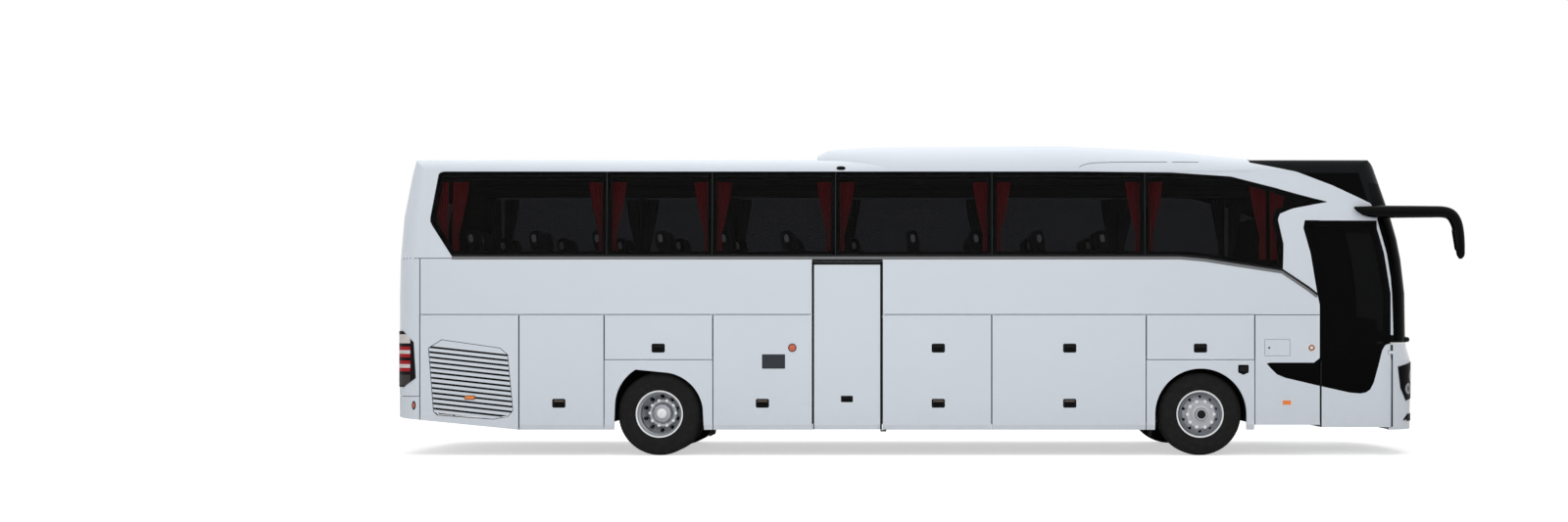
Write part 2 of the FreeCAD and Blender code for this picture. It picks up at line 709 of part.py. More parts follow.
def build_roof():
    x0 = REAR_ZONE_X
    x1 = DOOR_REAR_X - SEAM
    shell = section_prism(x0, x1, 0).cut(section_prism(x0 - 1, x1 + 1, ROOF_T))
    add("roof_shell", shell.common(box(x0, x1, -FAR, FAR, ROOF_EDGE_Z + SEAT_GAP, ROOF_Z + 50)))
    fairing = Part.makeLoft([fairing_wire(row) for row in FAIRING_ROWS], True, True)
    add("roof_fairing", fairing.cut(section_prism(-2000, 5000, -SEAT_GAP)))


# ---------------------------------------------------------------- wheels
# Sizes of a steel wheel: disc thickness, radius of its flat middle, drop of the band, hand holes
DISC_T = 14.0
DISC_FLAT_R = 178.0
DROP_R = 250.0
RIM_HALF = TYRE_W / 2 - 32
DISC_OUT = TWIN_PITCH / 2 - SEAT_GAP
HAND_HOLES = 10
HAND_HOLE_PITCH_R = 218.0
SPINDLE_BORE = SPINDLE_R + SEAT_GAP

# Wheel hubs closed by their caps: (radius, distance outboard)
FRONT_HUB = [
    (SPINDLE_BORE, -60),
    (115, -60),
    (115, DISC_OUT + 20),
    (75, DISC_OUT + 34),
    (72, DISC_OUT + 50),
    (0, DISC_OUT + 50),
    (0, DISC_OUT + 36),
    (SPINDLE_BORE, DISC_OUT + 36),
]
REAR_HUB = [
    (SPINDLE_BORE, -120),
    (135, -120),
    (135, 60),
    (112, 110),
    (60, 128),
    (0, 128),
    (0, 112),
    (SPINDLE_BORE, 112),
]


def revolve_about_y(points, x, y):
    """Turn an outline of (radius, width along Y) rows about a wheel's axis."""
    outline = face([(r, w, 0) for r, w in points])
    ring = outline.revolve(Vec(0, 0, 0), Vec(0, 1, 0), 360)
    ring.translate(Vec(x, y, TYRE_R))
    return ring


def tyre(x, y):
    h = TYRE_W / 2
    rows = [
        (RIM_R + SEAT_GAP, -h + 30),
        (RIM_R + 50, -h + 12),
        (RIM_R + 130, -h),
        (TYRE_R - 45, -h + 8),
        (TYRE_R - 12, -h + 24),
        (TYRE_R, -h + 50),
    ]
    return revolve_about_y(rows + [(r, -w) for r, w in reversed(rows)], x, y)


def rim(x, y, way, hole_r):
    """A steel rim whose disc is dished towards way (+1 or -1 along Y)."""
    h = RIM_HALF
    band = [
        (RIM_R, -h),
        (RIM_R, h),
        (RIM_R - 12, h),
        (RIM_R - 12, h - 30),
        (DROP_R, 60),
        (DROP_R, -60),
        (RIM_R - 12, -h + 30),
        (RIM_R - 12, -h),
    ]
    disc = [
        (SPINDLE_BORE, DISC_OUT - DISC_T),
        (SPINDLE_BORE, DISC_OUT),
        (DISC_FLAT_R, DISC_OUT),
        (DROP_R + 4, 75),
        (DROP_R + 4, 57),
        (DISC_FLAT_R - 6, DISC_OUT - DISC_T),
    ]
    holes = []
    for i in range(HAND_HOLES):
        angle = 2 * math.pi * (i + 0.5) / HAND_HOLES
        hx = x + HAND_HOLE_PITCH_R * math.cos(angle)
        hz = TYRE_R + HAND_HOLE_PITCH_R * math.sin(angle)
        holes.append(cylinder(hx, y - 200, hz, hole_r, 400, (0, 1, 0)))
    solids = [revolve_about_y([(r, way * w) for r, w in rows], x, y) for rows in (band, disc)]
    return join(solids).cut(join(holes))


def hub(x, y, way, rows):
    return revolve_about_y([(r, way * w) for r, w in rows], x, y)


def build_wheels():
    for side, way in (("right", -1), ("left", 1)):
        y = way * WHEEL_Y
        inner = way * (WHEEL_Y - TWIN_PITCH)
        middle = way * (WHEEL_Y - TWIN_PITCH / 2)
        add(f"front_tyre_{side}", tyre(FRONT_AXLE_X, y))
        front = [rim(FRONT_AXLE_X, y, way, 18.0), hub(FRONT_AXLE_X, y, way, FRONT_HUB)]
        add(f"front_rim_{side}", join(front))
        add(f"rear_tyres_{side}", Part.makeCompound([tyre(REAR_AXLE_X, y), tyre(REAR_AXLE_X, inner)]))
        discs = [rim(REAR_AXLE_X, y, -way, 26.0), rim(REAR_AXLE_X, inner, way, 26.0)]
        add(f"rear_rims_{side}", join(discs + [hub(REAR_AXLE_X, middle, way, REAR_HUB)]))


# ---------------------------------------------------------------- axles and knuckles
AXLE_TUBE_R = 65.0
DIFFERENTIAL_R = 190.0
AIR_SPRING_R = 115.0
BEAM_LOW_Z = TYRE_R - 140
BEAM_TOP_Z = TYRE_R - 30
EYE_HALF = 60.0
EAR_T = 50.0


def air_springs(x, low, top):
    return [cylinder(x, way * RAIL_Y, low, AIR_SPRING_R, top - SEAT_GAP - low, (0, 0, 1)) for way in (-1, 1)]


def rear_axle():
    x = REAR_AXLE_X
    hub_y = WHEEL_Y - TWIN_PITCH / 2
    tube_end = hub_y - 130
    pieces = [
        cylinder(x, -tube_end, TYRE_R, AXLE_TUBE_R, 2 * tube_end, (0, 1, 0)),
        cylinder(x, -hub_y - 100, TYRE_R, SPINDLE_R, 2 * hub_y + 200, (0, 1, 0)),
        cylinder(x, -130, TYRE_R, DIFFERENTIAL_R, 260, (0, 1, 0)),
    ]
    return join(pieces + air_springs(x, TYRE_R, REAR_RAIL_Z))


def front_axle():
    """A dropped beam whose raised ends carry the king pins."""
    x = FRONT_AXLE_X
    pieces = [box(x - 45, x + 45, -701, 701, BEAM_LOW_Z, BEAM_TOP_Z)]
    for way in (-1, 1):
        pin_y = way * KING_PIN_Y
        pieces.append(side_box(way, x - 45, x + 45, 700, KING_PIN_Y - 70, BEAM_LOW_Z, TYRE_R + 45))
        pieces.append(side_box(way, x - 35, x + 35, KING_PIN_Y - 71, KING_PIN_Y, TYRE_R - 45, TYRE_R + 45))
        pieces.append(cylinder(x, pin_y, TYRE_R - EYE_HALF, 48.0, 2 * EYE_HALF, (0, 0, 1)))
        pieces.append(cylinder(x, pin_y, TYRE_R - 115, KING_PIN_R, 230, (0, 0, 1)))
    return join(pieces + air_springs(x, BEAM_TOP_Z - 10, FRONT_RAIL_Z))


def knuckle(way):
    """A forked knuckle that turns on the king pin and carries the wheel's spindle."""
    x = FRONT_AXLE_X
    y = way * KING_PIN_Y
    pieces = []
    for z in (TYRE_R - EYE_HALF - SEAT_GAP - EAR_T, TYRE_R + EYE_HALF + SEAT_GAP):
        pieces.append(cylinder(x, y, z, 46.0, EAR_T, (0, 0, 1)))
        pieces.append(side_box(way, x - 40, x + 40, KING_PIN_Y, KING_PIN_Y + 80, z, z + EAR_T))
    plate_y = KING_PIN_Y + 60
    pieces.append(side_box(way, x - 45, x + 45, plate_y, plate_y + 22, TYRE_R - 111, TYRE_R + 111))
    length = WHEEL_Y + DISC_OUT + 20 - KING_PIN_Y - 70
    pieces.append(cylinder(x, way * (KING_PIN_Y + 70), TYRE_R, SPINDLE_R, length, (0, way, 0)))
    return join(pieces).cut(cylinder(x, y, TYRE_R - 130, KING_PIN_R + SEAT_GAP, 260, (0, 0, 1)))


def build_axles():
    add("rear_axle", rear_axle())
    add("front_axle", front_axle())
    add("steering_knuckle_right", knuckle(-1))
    add("steering_knuckle_left", knuckle(1))


# ---------------------------------------------------------------- floors, hold, frame, engine
CAB_REAR_X = DOOR_REAR_X - 190
RISER_T = 40.0
BULKHEAD_T = 40.0
BAY_HALF = HALF_WIDTH - SKIN - 10
WELL_DEEP = 620.0
STAIRS = 3


def cabin_floor():
    half = HALF_WIDTH - WALL - SEAT_GAP
    slab = box(PANEL_X[0] + 30, CAB_REAR_X - RISER_T - SEAT_GAP, -half, half, FLOOR_Z - FLOOR_T, FLOOR_Z)
    low = FLOOR_Z - FLOOR_T - 1
    well = box(PANEL_X[4] + 20, PANEL_X[5] - 20, -half - 1, -half + WELL_DEEP, low, FLOOR_Z + 1)
    return slab.cut(well)


def luggage_bay():
    """Floor, end walls and posts of the hold, with the stairwell of the middle door."""
    t = BULKHEAD_T
    top = FLOOR_Z - FLOOR_T - SEAT_GAP
    low = BAY_FLOOR_Z
    well_rear = PANEL_X[4] - 60
    well_front = PANEL_X[5] + 20
    pieces = [
        box(BAY_REAR_X, BAY_FRONT_X, -BAY_HALF, BAY_HALF, low, low + t),
        box(BAY_REAR_X, BAY_REAR_X + t, -BAY_HALF, BAY_HALF, low, top),
        box(BAY_FRONT_X - t, BAY_FRONT_X, -BAY_HALF, BAY_HALF, low, top),
        box(well_rear, well_front + t, -BAY_HALF + WELL_DEEP, -BAY_HALF + WELL_DEEP + t, low, top),
    ]
    for x in (well_rear, well_front):
        pieces.append(box(x, x + t, -BAY_HALF, -BAY_HALF + WELL_DEEP + t, low, top))
        pieces.append(box(x, x + t, BAY_HALF - 60, BAY_HALF, low, top))
    for way in (-1, 1):
        pieces.append(side_box(way, PANEL_X[6] - 20, PANEL_X[6] + 20, BAY_HALF - 60, BAY_HALF, low, top))
    for i in range(STAIRS):
        y = -BAY_HALF + 170 + 150 * i
        z = low + t + 240 * i
        pieces.append(box(well_rear + t - 1, well_front + 1, y, -BAY_HALF + WELL_DEEP + 1, z, z + 240))
    return join(pieces + [middle_door_foot()]).removeSplitter()


# Jack pads under the frame rails: station and height of the rail's underside
PAD_STATIONS = [(-4400.0, REAR_RAIL_Z), (4250.0, FRONT_RAIL_Z)]
PAD_T = 12.0
# Crossmembers: station, underside, and whether they reach out to the wheel boxes
CROSSMEMBERS = [
    (REAR_X + 260, REAR_RAIL_Z + 20, False),
    (REAR_X + 1700, REAR_RAIL_Z + 20, False),
    (REAR_AXLE_X - 500, REAR_RAIL_Z + 20, True),
    (REAR_AXLE_X + 500, REAR_RAIL_Z + 20, True),
    (FRONT_AXLE_X - 560, FRONT_RAIL_Z, True),
    (FRONT_AXLE_X + 500, FRONT_RAIL_Z, True),
    (FRONT_X - 400, FRONT_RAIL_Z, False),
]


def chassis_frame():
    inner = RAIL_Y - RAIL_W / 2
    outer = RAIL_Y + RAIL_W / 2
    beams = []
    for way in (-1, 1):
        rear_end_x = BAY_REAR_X - SEAT_GAP
        z = REAR_RAIL_Z
        beams.append(side_box(way, REAR_X + 250, rear_end_x, inner, outer, z, z + 200))
        beams.append(side_box(way, REAR_X, REAR_X + 260, inner, outer, REAR_RAIL_Z - 120, REAR_RAIL_Z + 100))
        front_end_x = BAY_FRONT_X + SEAT_GAP
        z = FRONT_RAIL_Z
        beams.append(side_box(way, front_end_x, FRONT_X, inner, outer, z, z + 160))
        for x, z in PAD_STATIONS:
            beams.append(side_box(way, x - 60, x + 60, inner, outer, z - PAD_T, z + 1))
    for x, z, wide in CROSSMEMBERS:
        half = WHEEL_BOXES[0][2] - SEAT_GAP if wide else outer
        beams.append(box(x, x + 80, -half, half, z, z + 100))
    depth = WALL + SEAT_GAP
    middle = box(REAR_ZONE_X - 1, FRONT_ZONE_X, -FAR, FAR, 0, 2000)
    room = join([end_block("rear", depth), middle, end_block("front", depth)])
    return join(beams).common(room)


# Fuel tank beside the frame, ahead of the right front wheel
TANK = (4360.0, 4920.0, RAIL_Y + RAIL_W / 2 + SEAT_GAP, 1150.0, 500.0, 860.0)


def fuel_tank():
    x0, x1, y0, y1, z0, z1 = TANK
    tank = side_box(-1, x0, x1, y0, y1, z0, z1)
    edges = [e for e in tank.Edges if abs(e.tangentAt(e.FirstParameter).y) > 0.9]
    return tank.makeFillet(60.0, edges)


def engine():
    """One plain block between the two rearmost crossmembers."""
    x0 = CROSSMEMBERS[0][0] + 80 + SEAT_GAP
    x1 = CROSSMEMBERS[1][0] - SEAT_GAP
    half = RAIL_Y - RAIL_W / 2 - SEAT_GAP
    return box(x0, x1, -half, half, TYRE_R, TYRE_R + 900)


def build_underneath():
    add("cabin_floor", cabin_floor())
    add("luggage_bay", luggage_bay())
    add("chassis_frame", chassis_frame())
    add("fuel_tank", fuel_tank())
    add("engine", engine())


# ---------------------------------------------------------------- front end
MASK_TOP_Z = 1415.0
SCREEN_TOP_Z = 3430.0
SCREEN_MARGIN = 60.0
GLASS_LAP = 30.0
DOOR_LUG_Z = 1300.0
CAB_WINDOW_LOW_Z = 1700.0
# Rear edge of the windscreen in side view, from its foot up to the roof: (station, height)
SCREEN_REAR_EDGE = [
    (6105.0, 1450.0),
    (6095.0, 2036.0),
    (6005.0, 2552.0),
    (5915.0, 2865.0),
    (5870.0, 3050.0),
    (5780.0, SCREEN_TOP_Z),
]


def screen_outline(margin):
    """Side view of the windscreen, drawn in by a margin along its rear, top and bottom."""
    rear = [(x + margin, z) for x, z in SCREEN_REAR_EDGE]
    rear[0] = (rear[0][0], SCREEN_REAR_EDGE[0][1] + margin)
    rear[-1] = (rear[-1][0], SCREEN_TOP_Z - margin)
    far = FRONT_X + 200
    return rear + [(far, SCREEN_TOP_Z - margin), (far, SCREEN_REAR_EDGE[0][1] + margin)]


def cab_outline(margin):
    """The driver's side below the roof: upright behind, slanted in front like the door."""
    front = [(x + margin, z) for x, z in DOOR_FRONT_EDGE]
    top = DOOR_TOP_Z + margin
    x0 = FRONT_ZONE_X - margin
    return [(x0, 0.0), (x0, top), (front[-1][0] - 4, top)] + list(reversed(front)) + [(front[0][0], 0.0)]


def door_pane_outline(margin):
    """The glass of the front door above its lower panel, drawn in by a margin."""
    low = DOOR_GLASS_LOW_Z + margin
    rear = [(x + margin + 4, z) for x, z in DOOR_REAR_EDGE]
    front = [(x - margin, z) for x, z in DOOR_FRONT_EDGE]
    rear[-1] = (rear[-1][0], DOOR_TOP_Z - margin)
    front[-1] = (front[-1][0], DOOR_TOP_Z - margin)
    return [(rear[0][0], low)] + rear + list(reversed(front)) + [(front[0][0], low)]


def cab_pane_outline(margin):
    low = CAB_WINDOW_LOW_Z + margin
    top = DOOR_TOP_Z - 80 - margin
    x0 = FRONT_ZONE_X + 80 + margin
    return [
        (x0, low),
        (x0, top),
        (5800.0 - margin, top),
        (5880.0 - margin, 2552.0),
        (5940.0 - margin, 2036.0),
        (5940.0 - margin, low),
    ]


def right_of(outline):
    return prism_xz(outline, -FAR, -600)


def left_of(outline):
    return prism_xz(outline, 600, FAR)


def door_pins():
    """Pins and arms on the pillar that the front door turns on."""
    x = DOOR_PIN_X
    y = DOOR_PIN_Y
    return [
        box(x - 8, DOOR_FRONT_X + 30, y - 8, y + 22, DOOR_LUG_Z - 20, DOOR_LUG_Z + 20),
        box(x - 8, DOOR_FRONT_X + 30, y - 8, y + 30, SKIRT_Z, DOOR_LOW_Z - SEAM),
        cylinder(x, y, DOOR_LUG_Z - 60, DOOR_PIN_R, 45, (0, 0, 1)),
        cylinder(x, y, DOOR_LOW_Z - SEAM - 5, DOOR_PIN_R, 45, (0, 0, 1)),
    ]


def front_door(glass_bed):
    """The door's panel with its opening, the rebate for its glass and the bores for its pins."""
    base = DOOR_REAR_EDGE[-1][0] - 60
    skin = end_block("front", 0, base).cut(end_block("front", DOOR_T, base))
    panel = skin.common(right_of(door_outline(-SEAM / 2)))
    panel = panel.cut(right_of(door_pane_outline(90.0)))
    panel = panel.cut(right_of(door_pane_outline(90.0 - GLASS_LAP)).cut(glass_bed))
    x = DOOR_PIN_X
    y = DOOR_PIN_Y
    bore = DOOR_PIN_R + SEAT_GAP
    notch = box(x - 26, DOOR_FRONT_X, -FAR, -1100, DOOR_LUG_Z - 26, DOOR_LUG_Z + 26)
    low = cylinder(x, y, DOOR_LOW_Z - 10, bore, 60, (0, 0, 1))
    high = cylinder(x, y, DOOR_LUG_Z - 70, bore, 60, (0, 0, 1))
    return panel.cut(join([notch, low, high]))


def front_end():
    x0 = FRONT_ZONE_X
    far = FRONT_X + 200
    base = DOOR_REAR_EDGE[-1][0] - 60
    whole = end_shell("front", 0, WALL)
    glass = end_block("front", 0, base).cut(end_block("front", GLASS_T, base))
    bed = end_block("front", GLASS_T + SEAT_GAP, base)
    front_half = box(5500.0, far, -FAR, FAR, 0, 4000)

    mask = whole.common(box(DOOR_FRONT_X, far, -FAR, FAR, 0, MASK_TOP_Z))
    add("front_mask", join([mask] + door_pins()))

    upper = whole.common(box(x0, far, -FAR, FAR, MASK_TOP_Z + SEAM, 4000))
    behind = box(x0, DOOR_REAR_X + 1, -FAR, -900, 0, DOOR_TOP_Z)
    upper = upper.cut(join([right_of(door_outline(SEAM / 2)), behind, left_of(cab_outline(SEAT_GAP))]))
    seat = prism_xz(screen_outline(-4.0), -FAR, FAR).common(front_half).cut(bed)
    hole = prism_xz(screen_outline(SCREEN_MARGIN), -FAR, FAR)
    add("front_frame", upper.cut(join([seat, hole])))
    add("windscreen", glass.common(prism_xz(screen_outline(0.0), -FAR, FAR)))

    add("front_door", front_door(bed))
    add("front_door_glass", glass.common(right_of(door_pane_outline(91.3 - GLASS_LAP))))

    cab = whole.common(left_of(cab_outline(0.0))).common(box(x0, far, 0, FAR, SKIRT_Z, DOOR_TOP_Z))
    cab = cab.cut(left_of(cab_pane_outline(GLASS_LAP)))
    add("cab_side_left", cab.cut(left_of(cab_pane_outline(0.0)).cut(bed)))
    return glass.common(left_of(cab_pane_outline(1.3)))


# ---------------------------------------------------------------- rear end
LID_LOW_Z = 760.0
LID_TOP_Z = 1768.0
LID_HALF = 1040.0
LID_T = 40.0
LID_HINGE_X = REAR_X + 8
LID_HINGE_HALF = 300.0
REAR_WINDOW_HALF = 760.0
REAR_WINDOW_LOW_Z = 2480.0
REAR_WINDOW_TOP_Z = 3330.0


def lid_bead():
    x = LID_HINGE_X
    half = LID_HINGE_HALF
    bead = cylinder(x, -half, LID_TOP_Z, HINGE_R, 2 * half, (0, 1, 0))
    return bead.fuse(box(x, x + 18, -half, half, LID_TOP_Z - HINGE_R - 1, LID_TOP_Z))


def lid_lugs():
    x = LID_HINGE_X
    lugs = []
    for y in (-LID_HINGE_HALF - SEAT_GAP - 50, LID_HINGE_HALF + SEAT_GAP):
        lugs.append(cylinder(x, y, LID_TOP_Z, HINGE_R, 50, (0, 1, 0)))
        lugs.append(box(x, x + 30, y, y + 50, LID_TOP_Z - 2, LID_TOP_Z + 2 * SEAM + 1))
    return lugs


def rearmost_flap_lugs():
    lug = hinge_lug(PANEL_X[0] + SEAM / 2, PANEL_X[0] + HINGE_END - SEAT_GAP, -1)
    return [lug, mirrored(lug)]


def rear_pane_box(margin):
    half = REAR_WINDOW_HALF + margin
    low = REAR_WINDOW_LOW_Z - margin
    top = REAR_WINDOW_TOP_Z + margin
    return box(REAR_X - 200, REAR_ZONE_X - 100, -half, half, low, top)


def rear_end():
    base = REAR_ZONE_X
    far = REAR_X - 200
    flap_zone = box(PANEL_X[0] - SEAM / 2, 0, -FAR, FAR, 0, FLAP_TOP_Z + SEAM)
    whole = end_shell("rear", 0, WALL).cut(flap_zone)
    bed = end_block("rear", GLASS_T + SEAT_GAP)
    lid_hole = box(far, base, -LID_HALF, LID_HALF, LID_LOW_Z, LID_TOP_Z + 2 * SEAM)
    bumper_zone = box(far, base + 1, -FAR, FAR, 0, LID_LOW_Z - SEAM)
    wall = whole.cut(join([lid_hole, bumper_zone])).cut(rear_pane_box(0.0))
    wall = wall.cut(rear_pane_box(GLASS_LAP).cut(bed))
    add("rear_wall", join([wall] + lid_lugs() + rearmost_flap_lugs()))
    add("rear_window", end_shell("rear", 0, GLASS_T).common(rear_pane_box(GLASS_LAP - 1.3)))
    bumper = whole.common(box(far, base, -FAR, FAR, 0, LID_LOW_Z - 2 * SEAM))
    add("rear_bumper", bumper.cut(departure_cut()))
    half = LID_HALF - SEAM / 2
    lid_box = box(far, base - 60, -half, half, LID_LOW_Z, LID_TOP_Z - HINGE_R)
    add("engine_lid", join([end_shell("rear", 0, LID_T).common(lid_box), lid_bead()]))


# ---------------------------------------------------------------- mirrors and lamps
LENS_T = 8.0
# Side view of a mirror: its arm from the roof's front corner, forward and down to the head
MIRROR_ROOT_X = FRONT_X - 560
MIRROR_OUTLINE = [
    (MIRROR_ROOT_X, 3190.0),
    (MIRROR_TIP_X - 380, 3190.0),
    (MIRROR_TIP_X - 150, 3150.0),
    (MIRROR_TIP_X - 40, 3040.0),
    (MIRROR_TIP_X - 15, 2850.0),
    (MIRROR_TIP_X, 2640.0),
    (MIRROR_TIP_X - 60, 2450.0),
    (MIRROR_TIP_X - 110, 2500.0),
    (MIRROR_TIP_X - 150, 2780.0),
    (MIRROR_TIP_X - 200, 2900.0),
    (MIRROR_TIP_X - 300, 3000.0),
    (MIRROR_ROOT_X + 80, 3010.0),
    (MIRROR_ROOT_X, 3060.0),
]
MIRROR_OUT = 140.0
MIRROR_W = 160.0
# Side view of a tail lamp that wraps round the rear corner
TAIL_LAMP = [
    (REAR_X - 60, 1570.0),
    (-6381.0, 1570.0),
    (-6226.0, 1428.0),
    (-6198.0, 977.0),
    (-6367.0, 864.0),
    (REAR_X - 60, 864.0),
]
TAIL_LAMP_INNER_Y = 1050.0
# Side view of a headlamp on the front corner, and of the fog lamp below it
HEADLAMP = [(6150.0, 1120.0), (6560.0, 1210.0), (6560.0, 740.0), (6280.0, 690.0), (6190.0, 850.0)]
HEADLAMP_INNER_Y = 640.0
FOG_LAMP = [(6300.0, 520.0), (6560.0, 520.0), (6560.0, 430.0), (6300.0, 430.0)]
FOG_LAMP_INNER_Y = 860.0


def build_mirrors():
    y = -side_y(3100)
    arm = prism_xz(MIRROR_OUTLINE, y - MIRROR_OUT, y - MIRROR_OUT + MIRROR_W)
    root = box(MIRROR_ROOT_X, MIRROR_ROOT_X + 180, y - 30, -1050, 3030, 3180)
    right = arm.fuse(root).cut(end_block("front", -SEAT_GAP))
    add("mirrors", Part.makeCompound([right, mirrored(right)]))


def lens(skin, outline, inner_y):
    """A lens on the right-hand corner: the skin within a side view, outboard of a distance."""
    return skin.common(prism_xz(outline, -FAR, -inner_y))


def build_lamps():
    front = end_block("front", -LENS_T).cut(end_block("front", -SEAT_GAP))
    lenses = [lens(front, HEADLAMP, HEADLAMP_INNER_Y), lens(front, FOG_LAMP, FOG_LAMP_INNER_Y)]
    add("headlamps", Part.makeCompound(lenses + [mirrored(s) for s in lenses]))
    rear = end_block("rear", -LENS_T).cut(end_block("rear", -SEAT_GAP))
    tail = lens(rear, TAIL_LAMP, TAIL_LAMP_INNER_Y)
    add("tail_lamps", Part.makeCompound([tail, mirrored(tail)]))


# ---------------------------------------------------------------- inside
SEAT_PITCH = 800.0
SEAT_ROWS = 11
FIRST_SEAT_X = -5560.0
SEAT_TOP_Z = 2850.0
SEAT_W = 900.0
# Side view of a passenger seat, as distances forward of its back and above the floor
SEAT_OUTLINE = [
    (120.0, SEAT_GAP),
    (380.0, SEAT_GAP),
    (400.0, 300.0),
    (520.0, 320.0),
    (520.0, 440.0),
    (190.0, 430.0),
    (60.0, SEAT_TOP_Z - FLOOR_Z - 60),
    (20.0, SEAT_TOP_Z - FLOOR_Z),
    (-50.0, SEAT_TOP_Z - FLOOR_Z - 10),
    (-40.0, SEAT_TOP_Z - FLOOR_Z - 300),
    (90.0, 300.0),
]
DRIVER_SEAT_X = FRONT_X - 1330
DRIVER_OUTLINE = [
    (120.0, SEAT_GAP),
    (450.0, SEAT_GAP),
    (420.0, 330.0),
    (540.0, 350.0),
    (540.0, 470.0),
    (150.0, 460.0),
    (20.0, 1180.0),
    (-80.0, 1180.0),
    (30.0, 340.0),
]
CAB_HALF = HALF_WIDTH - WALL - 40
RACK_LOW_Z = 3460.0
CURTAIN_T = 24.0
CURTAIN_W = 215.0
CURTAIN_OFF = 22.0
CURTAIN_NARROW = 130.0
CURTAIN_TIE_Z = 2770.0
# Stations the pairs of curtains hang at
CURTAIN_X = DIVIDER_X + [-5790.0, 4520.0]


def seats():
    """Pairs of seats along both sides, left out over the middle stairs."""
    solids = []
    for i in range(SEAT_ROWS):
        x = FIRST_SEAT_X + SEAT_PITCH * i
        outline = [(x + dx, FLOOR_Z + dz) for dx, dz in SEAT_OUTLINE]
        pair = prism_xz(outline, -CAB_HALF, -CAB_HALF + SEAT_W)
        if not PANEL_X[4] - 500 < x < PANEL_X[5] + 50:
            solids.append(pair)
        solids.append(mirrored(pair))
    return solids


def rack():
    """An open luggage rack along the side wall above the seats."""
    y = side_y(RACK_LOW_Z + 20) - WALL - SEAT_GAP
    low = RACK_LOW_Z
    outline = [
        (-y, low + 60),
        (-y, low + 20),
        (-y + 420, low),
        (-y + 440, low + 80),
        (-y + 420, low + 80),
        (-y + 400, low + 40),
    ]
    strip = prism_yz(outline, PANEL_X[0] + 300, DOOR_REAR_X - 400)
    return strip.common(wall_band(PANEL_X[0], DOOR_REAR_X, BELT_Z, ROOF_EDGE_Z, WALL + SEAT_GAP, FAR / 2))


def curtain(x, way):
    """One gathered curtain, wide at the top and drawn towards its divider lower down."""
    w = way * CURTAIN_W
    narrow = way * CURTAIN_NARROW
    top = RACK_LOW_Z - 8
    low = GLASS_LOW_Z - 50
    outline = [
        (x, top),
        (x + w, top),
        (x + w - way * 12, top - 120),
        (x + narrow, CURTAIN_TIE_Z),
        (x + narrow + way * 20, low),
        (x, low),
    ]
    first, last = sorted([x - way * 10, x + w + way * 10])
    depth = WALL + SEAT_GAP
    slab = wall_band(first, last, BELT_Z - 60, GLASS_TOP_Z, depth, depth + CURTAIN_T)
    return slab.common(prism_xz(outline, -FAR, -900))


def cab_floor():
    """The driver's platform, the riser behind it and the entrance steps."""
    x0 = CAB_REAR_X
    z = CAB_FLOOR_Z
    pieces = [
        box(x0, FRONT_X - 300, -CAB_HALF + 700, CAB_HALF, z - 40, z),
        box(x0 - RISER_T, x0, -CAB_HALF, CAB_HALF, z - 40, FLOOR_Z),
    ]
    for i in range(STAIRS):
        y = -CAB_HALF + 30 + 215 * i
        low = 380.0 + 200 * i
        pieces.append(box(x0, DOOR_FRONT_X + 40, y, y + 235, low, low + 30))
        pieces.append(box(x0, DOOR_FRONT_X + 40, y + 215, y + 235, low, low + 230))
    for x in (x0 - 30, DOOR_FRONT_X + 40):
        pieces.append(box(x, x + 30, -CAB_HALF + 30, -CAB_HALF + 701, 380, z))
    room = end_block("front", WALL + 20, x0 - 100)
    return join(pieces).common(room)


DASH_OUTLINE = [
    (FRONT_X - 620, CAB_FLOOR_Z + 250),
    (FRONT_X - 640, CAB_FLOOR_Z + 700),
    (FRONT_X - 560, CAB_FLOOR_Z + 760),
    (FRONT_X - 300, CAB_FLOOR_Z + 720),
    (FRONT_X - 300, CAB_FLOOR_Z + SEAT_GAP),
    (FRONT_X - 420, CAB_FLOOR_Z + SEAT_GAP),
]
WHEEL_RING_R = 230.0
WHEEL_GRIP_R = 16.0
WHEEL_RAKE_DEG = -30.0


def steering_wheel(dash):
    """The hand wheel with three spokes and the column that enters the dashboard."""
    turns = [math.pi * (i + 0.5) / 4 for i in range(8)]
    grip = [(WHEEL_RING_R + WHEEL_GRIP_R * math.cos(a), WHEEL_GRIP_R * math.sin(a)) for a in turns]
    section = face([(r, 0, z) for r, z in grip])
    pieces = [
        section.revolve(Vec(0, 0, 0), Vec(0, 0, 1), 360),
        box(-225, 225, -18, 18, -10, 10),
        box(-18, 18, -225, 0, -10, 10),
        cylinder(0, 0, -12, 50.0, 30, (0, 0, 1)),
        cylinder(0, 0, -330, 26.0, 325, (0, 0, 1)),
    ]
    wheel = join(pieces)
    wheel.rotate(Vec(0, 0, 0), Vec(0, 1, 0), WHEEL_RAKE_DEG)
    wheel.translate(Vec(FRONT_X - 760, 620, CAB_FLOOR_Z + 760))
    return wheel.cut(dash)


def build_inside():
    add("passenger_seats", Part.makeCompound(seats()))
    add("luggage_racks", Part.makeCompound([rack(), mirrored(rack())]))
    cloths = []
    for x in CURTAIN_X:
        cloths += [curtain(x - CURTAIN_OFF, -1), curtain(x + CURTAIN_OFF, 1)]
    add("curtains", Part.makeCompound(cloths + [mirrored(c) for c in cloths]))
    add("cab_floor", cab_floor())
    dash = prism_xz(DASH_OUTLINE, -250, 1050)
    add("dashboard", dash)
    add("steering_wheel", steering_wheel(dash))
    outline = [(DRIVER_SEAT_X + dx, CAB_FLOOR_Z + dz) for dx, dz in DRIVER_OUTLINE]
    add("driver_seat", prism_xz(outline, 370, 870))


def build_all():
    build_sides()
    middle_door()
    build_wheel_surrounds()
    build_roof()
    build_wheels()
    build_axles()
    build_underneath()
    cab_pane = front_end()
    panes = side_panes()
    add("side_glass", Part.makeCompound([panes, mirrored(panes), cab_pane]))
    rear_end()
    build_mirrors()
    build_lamps()
    build_inside()


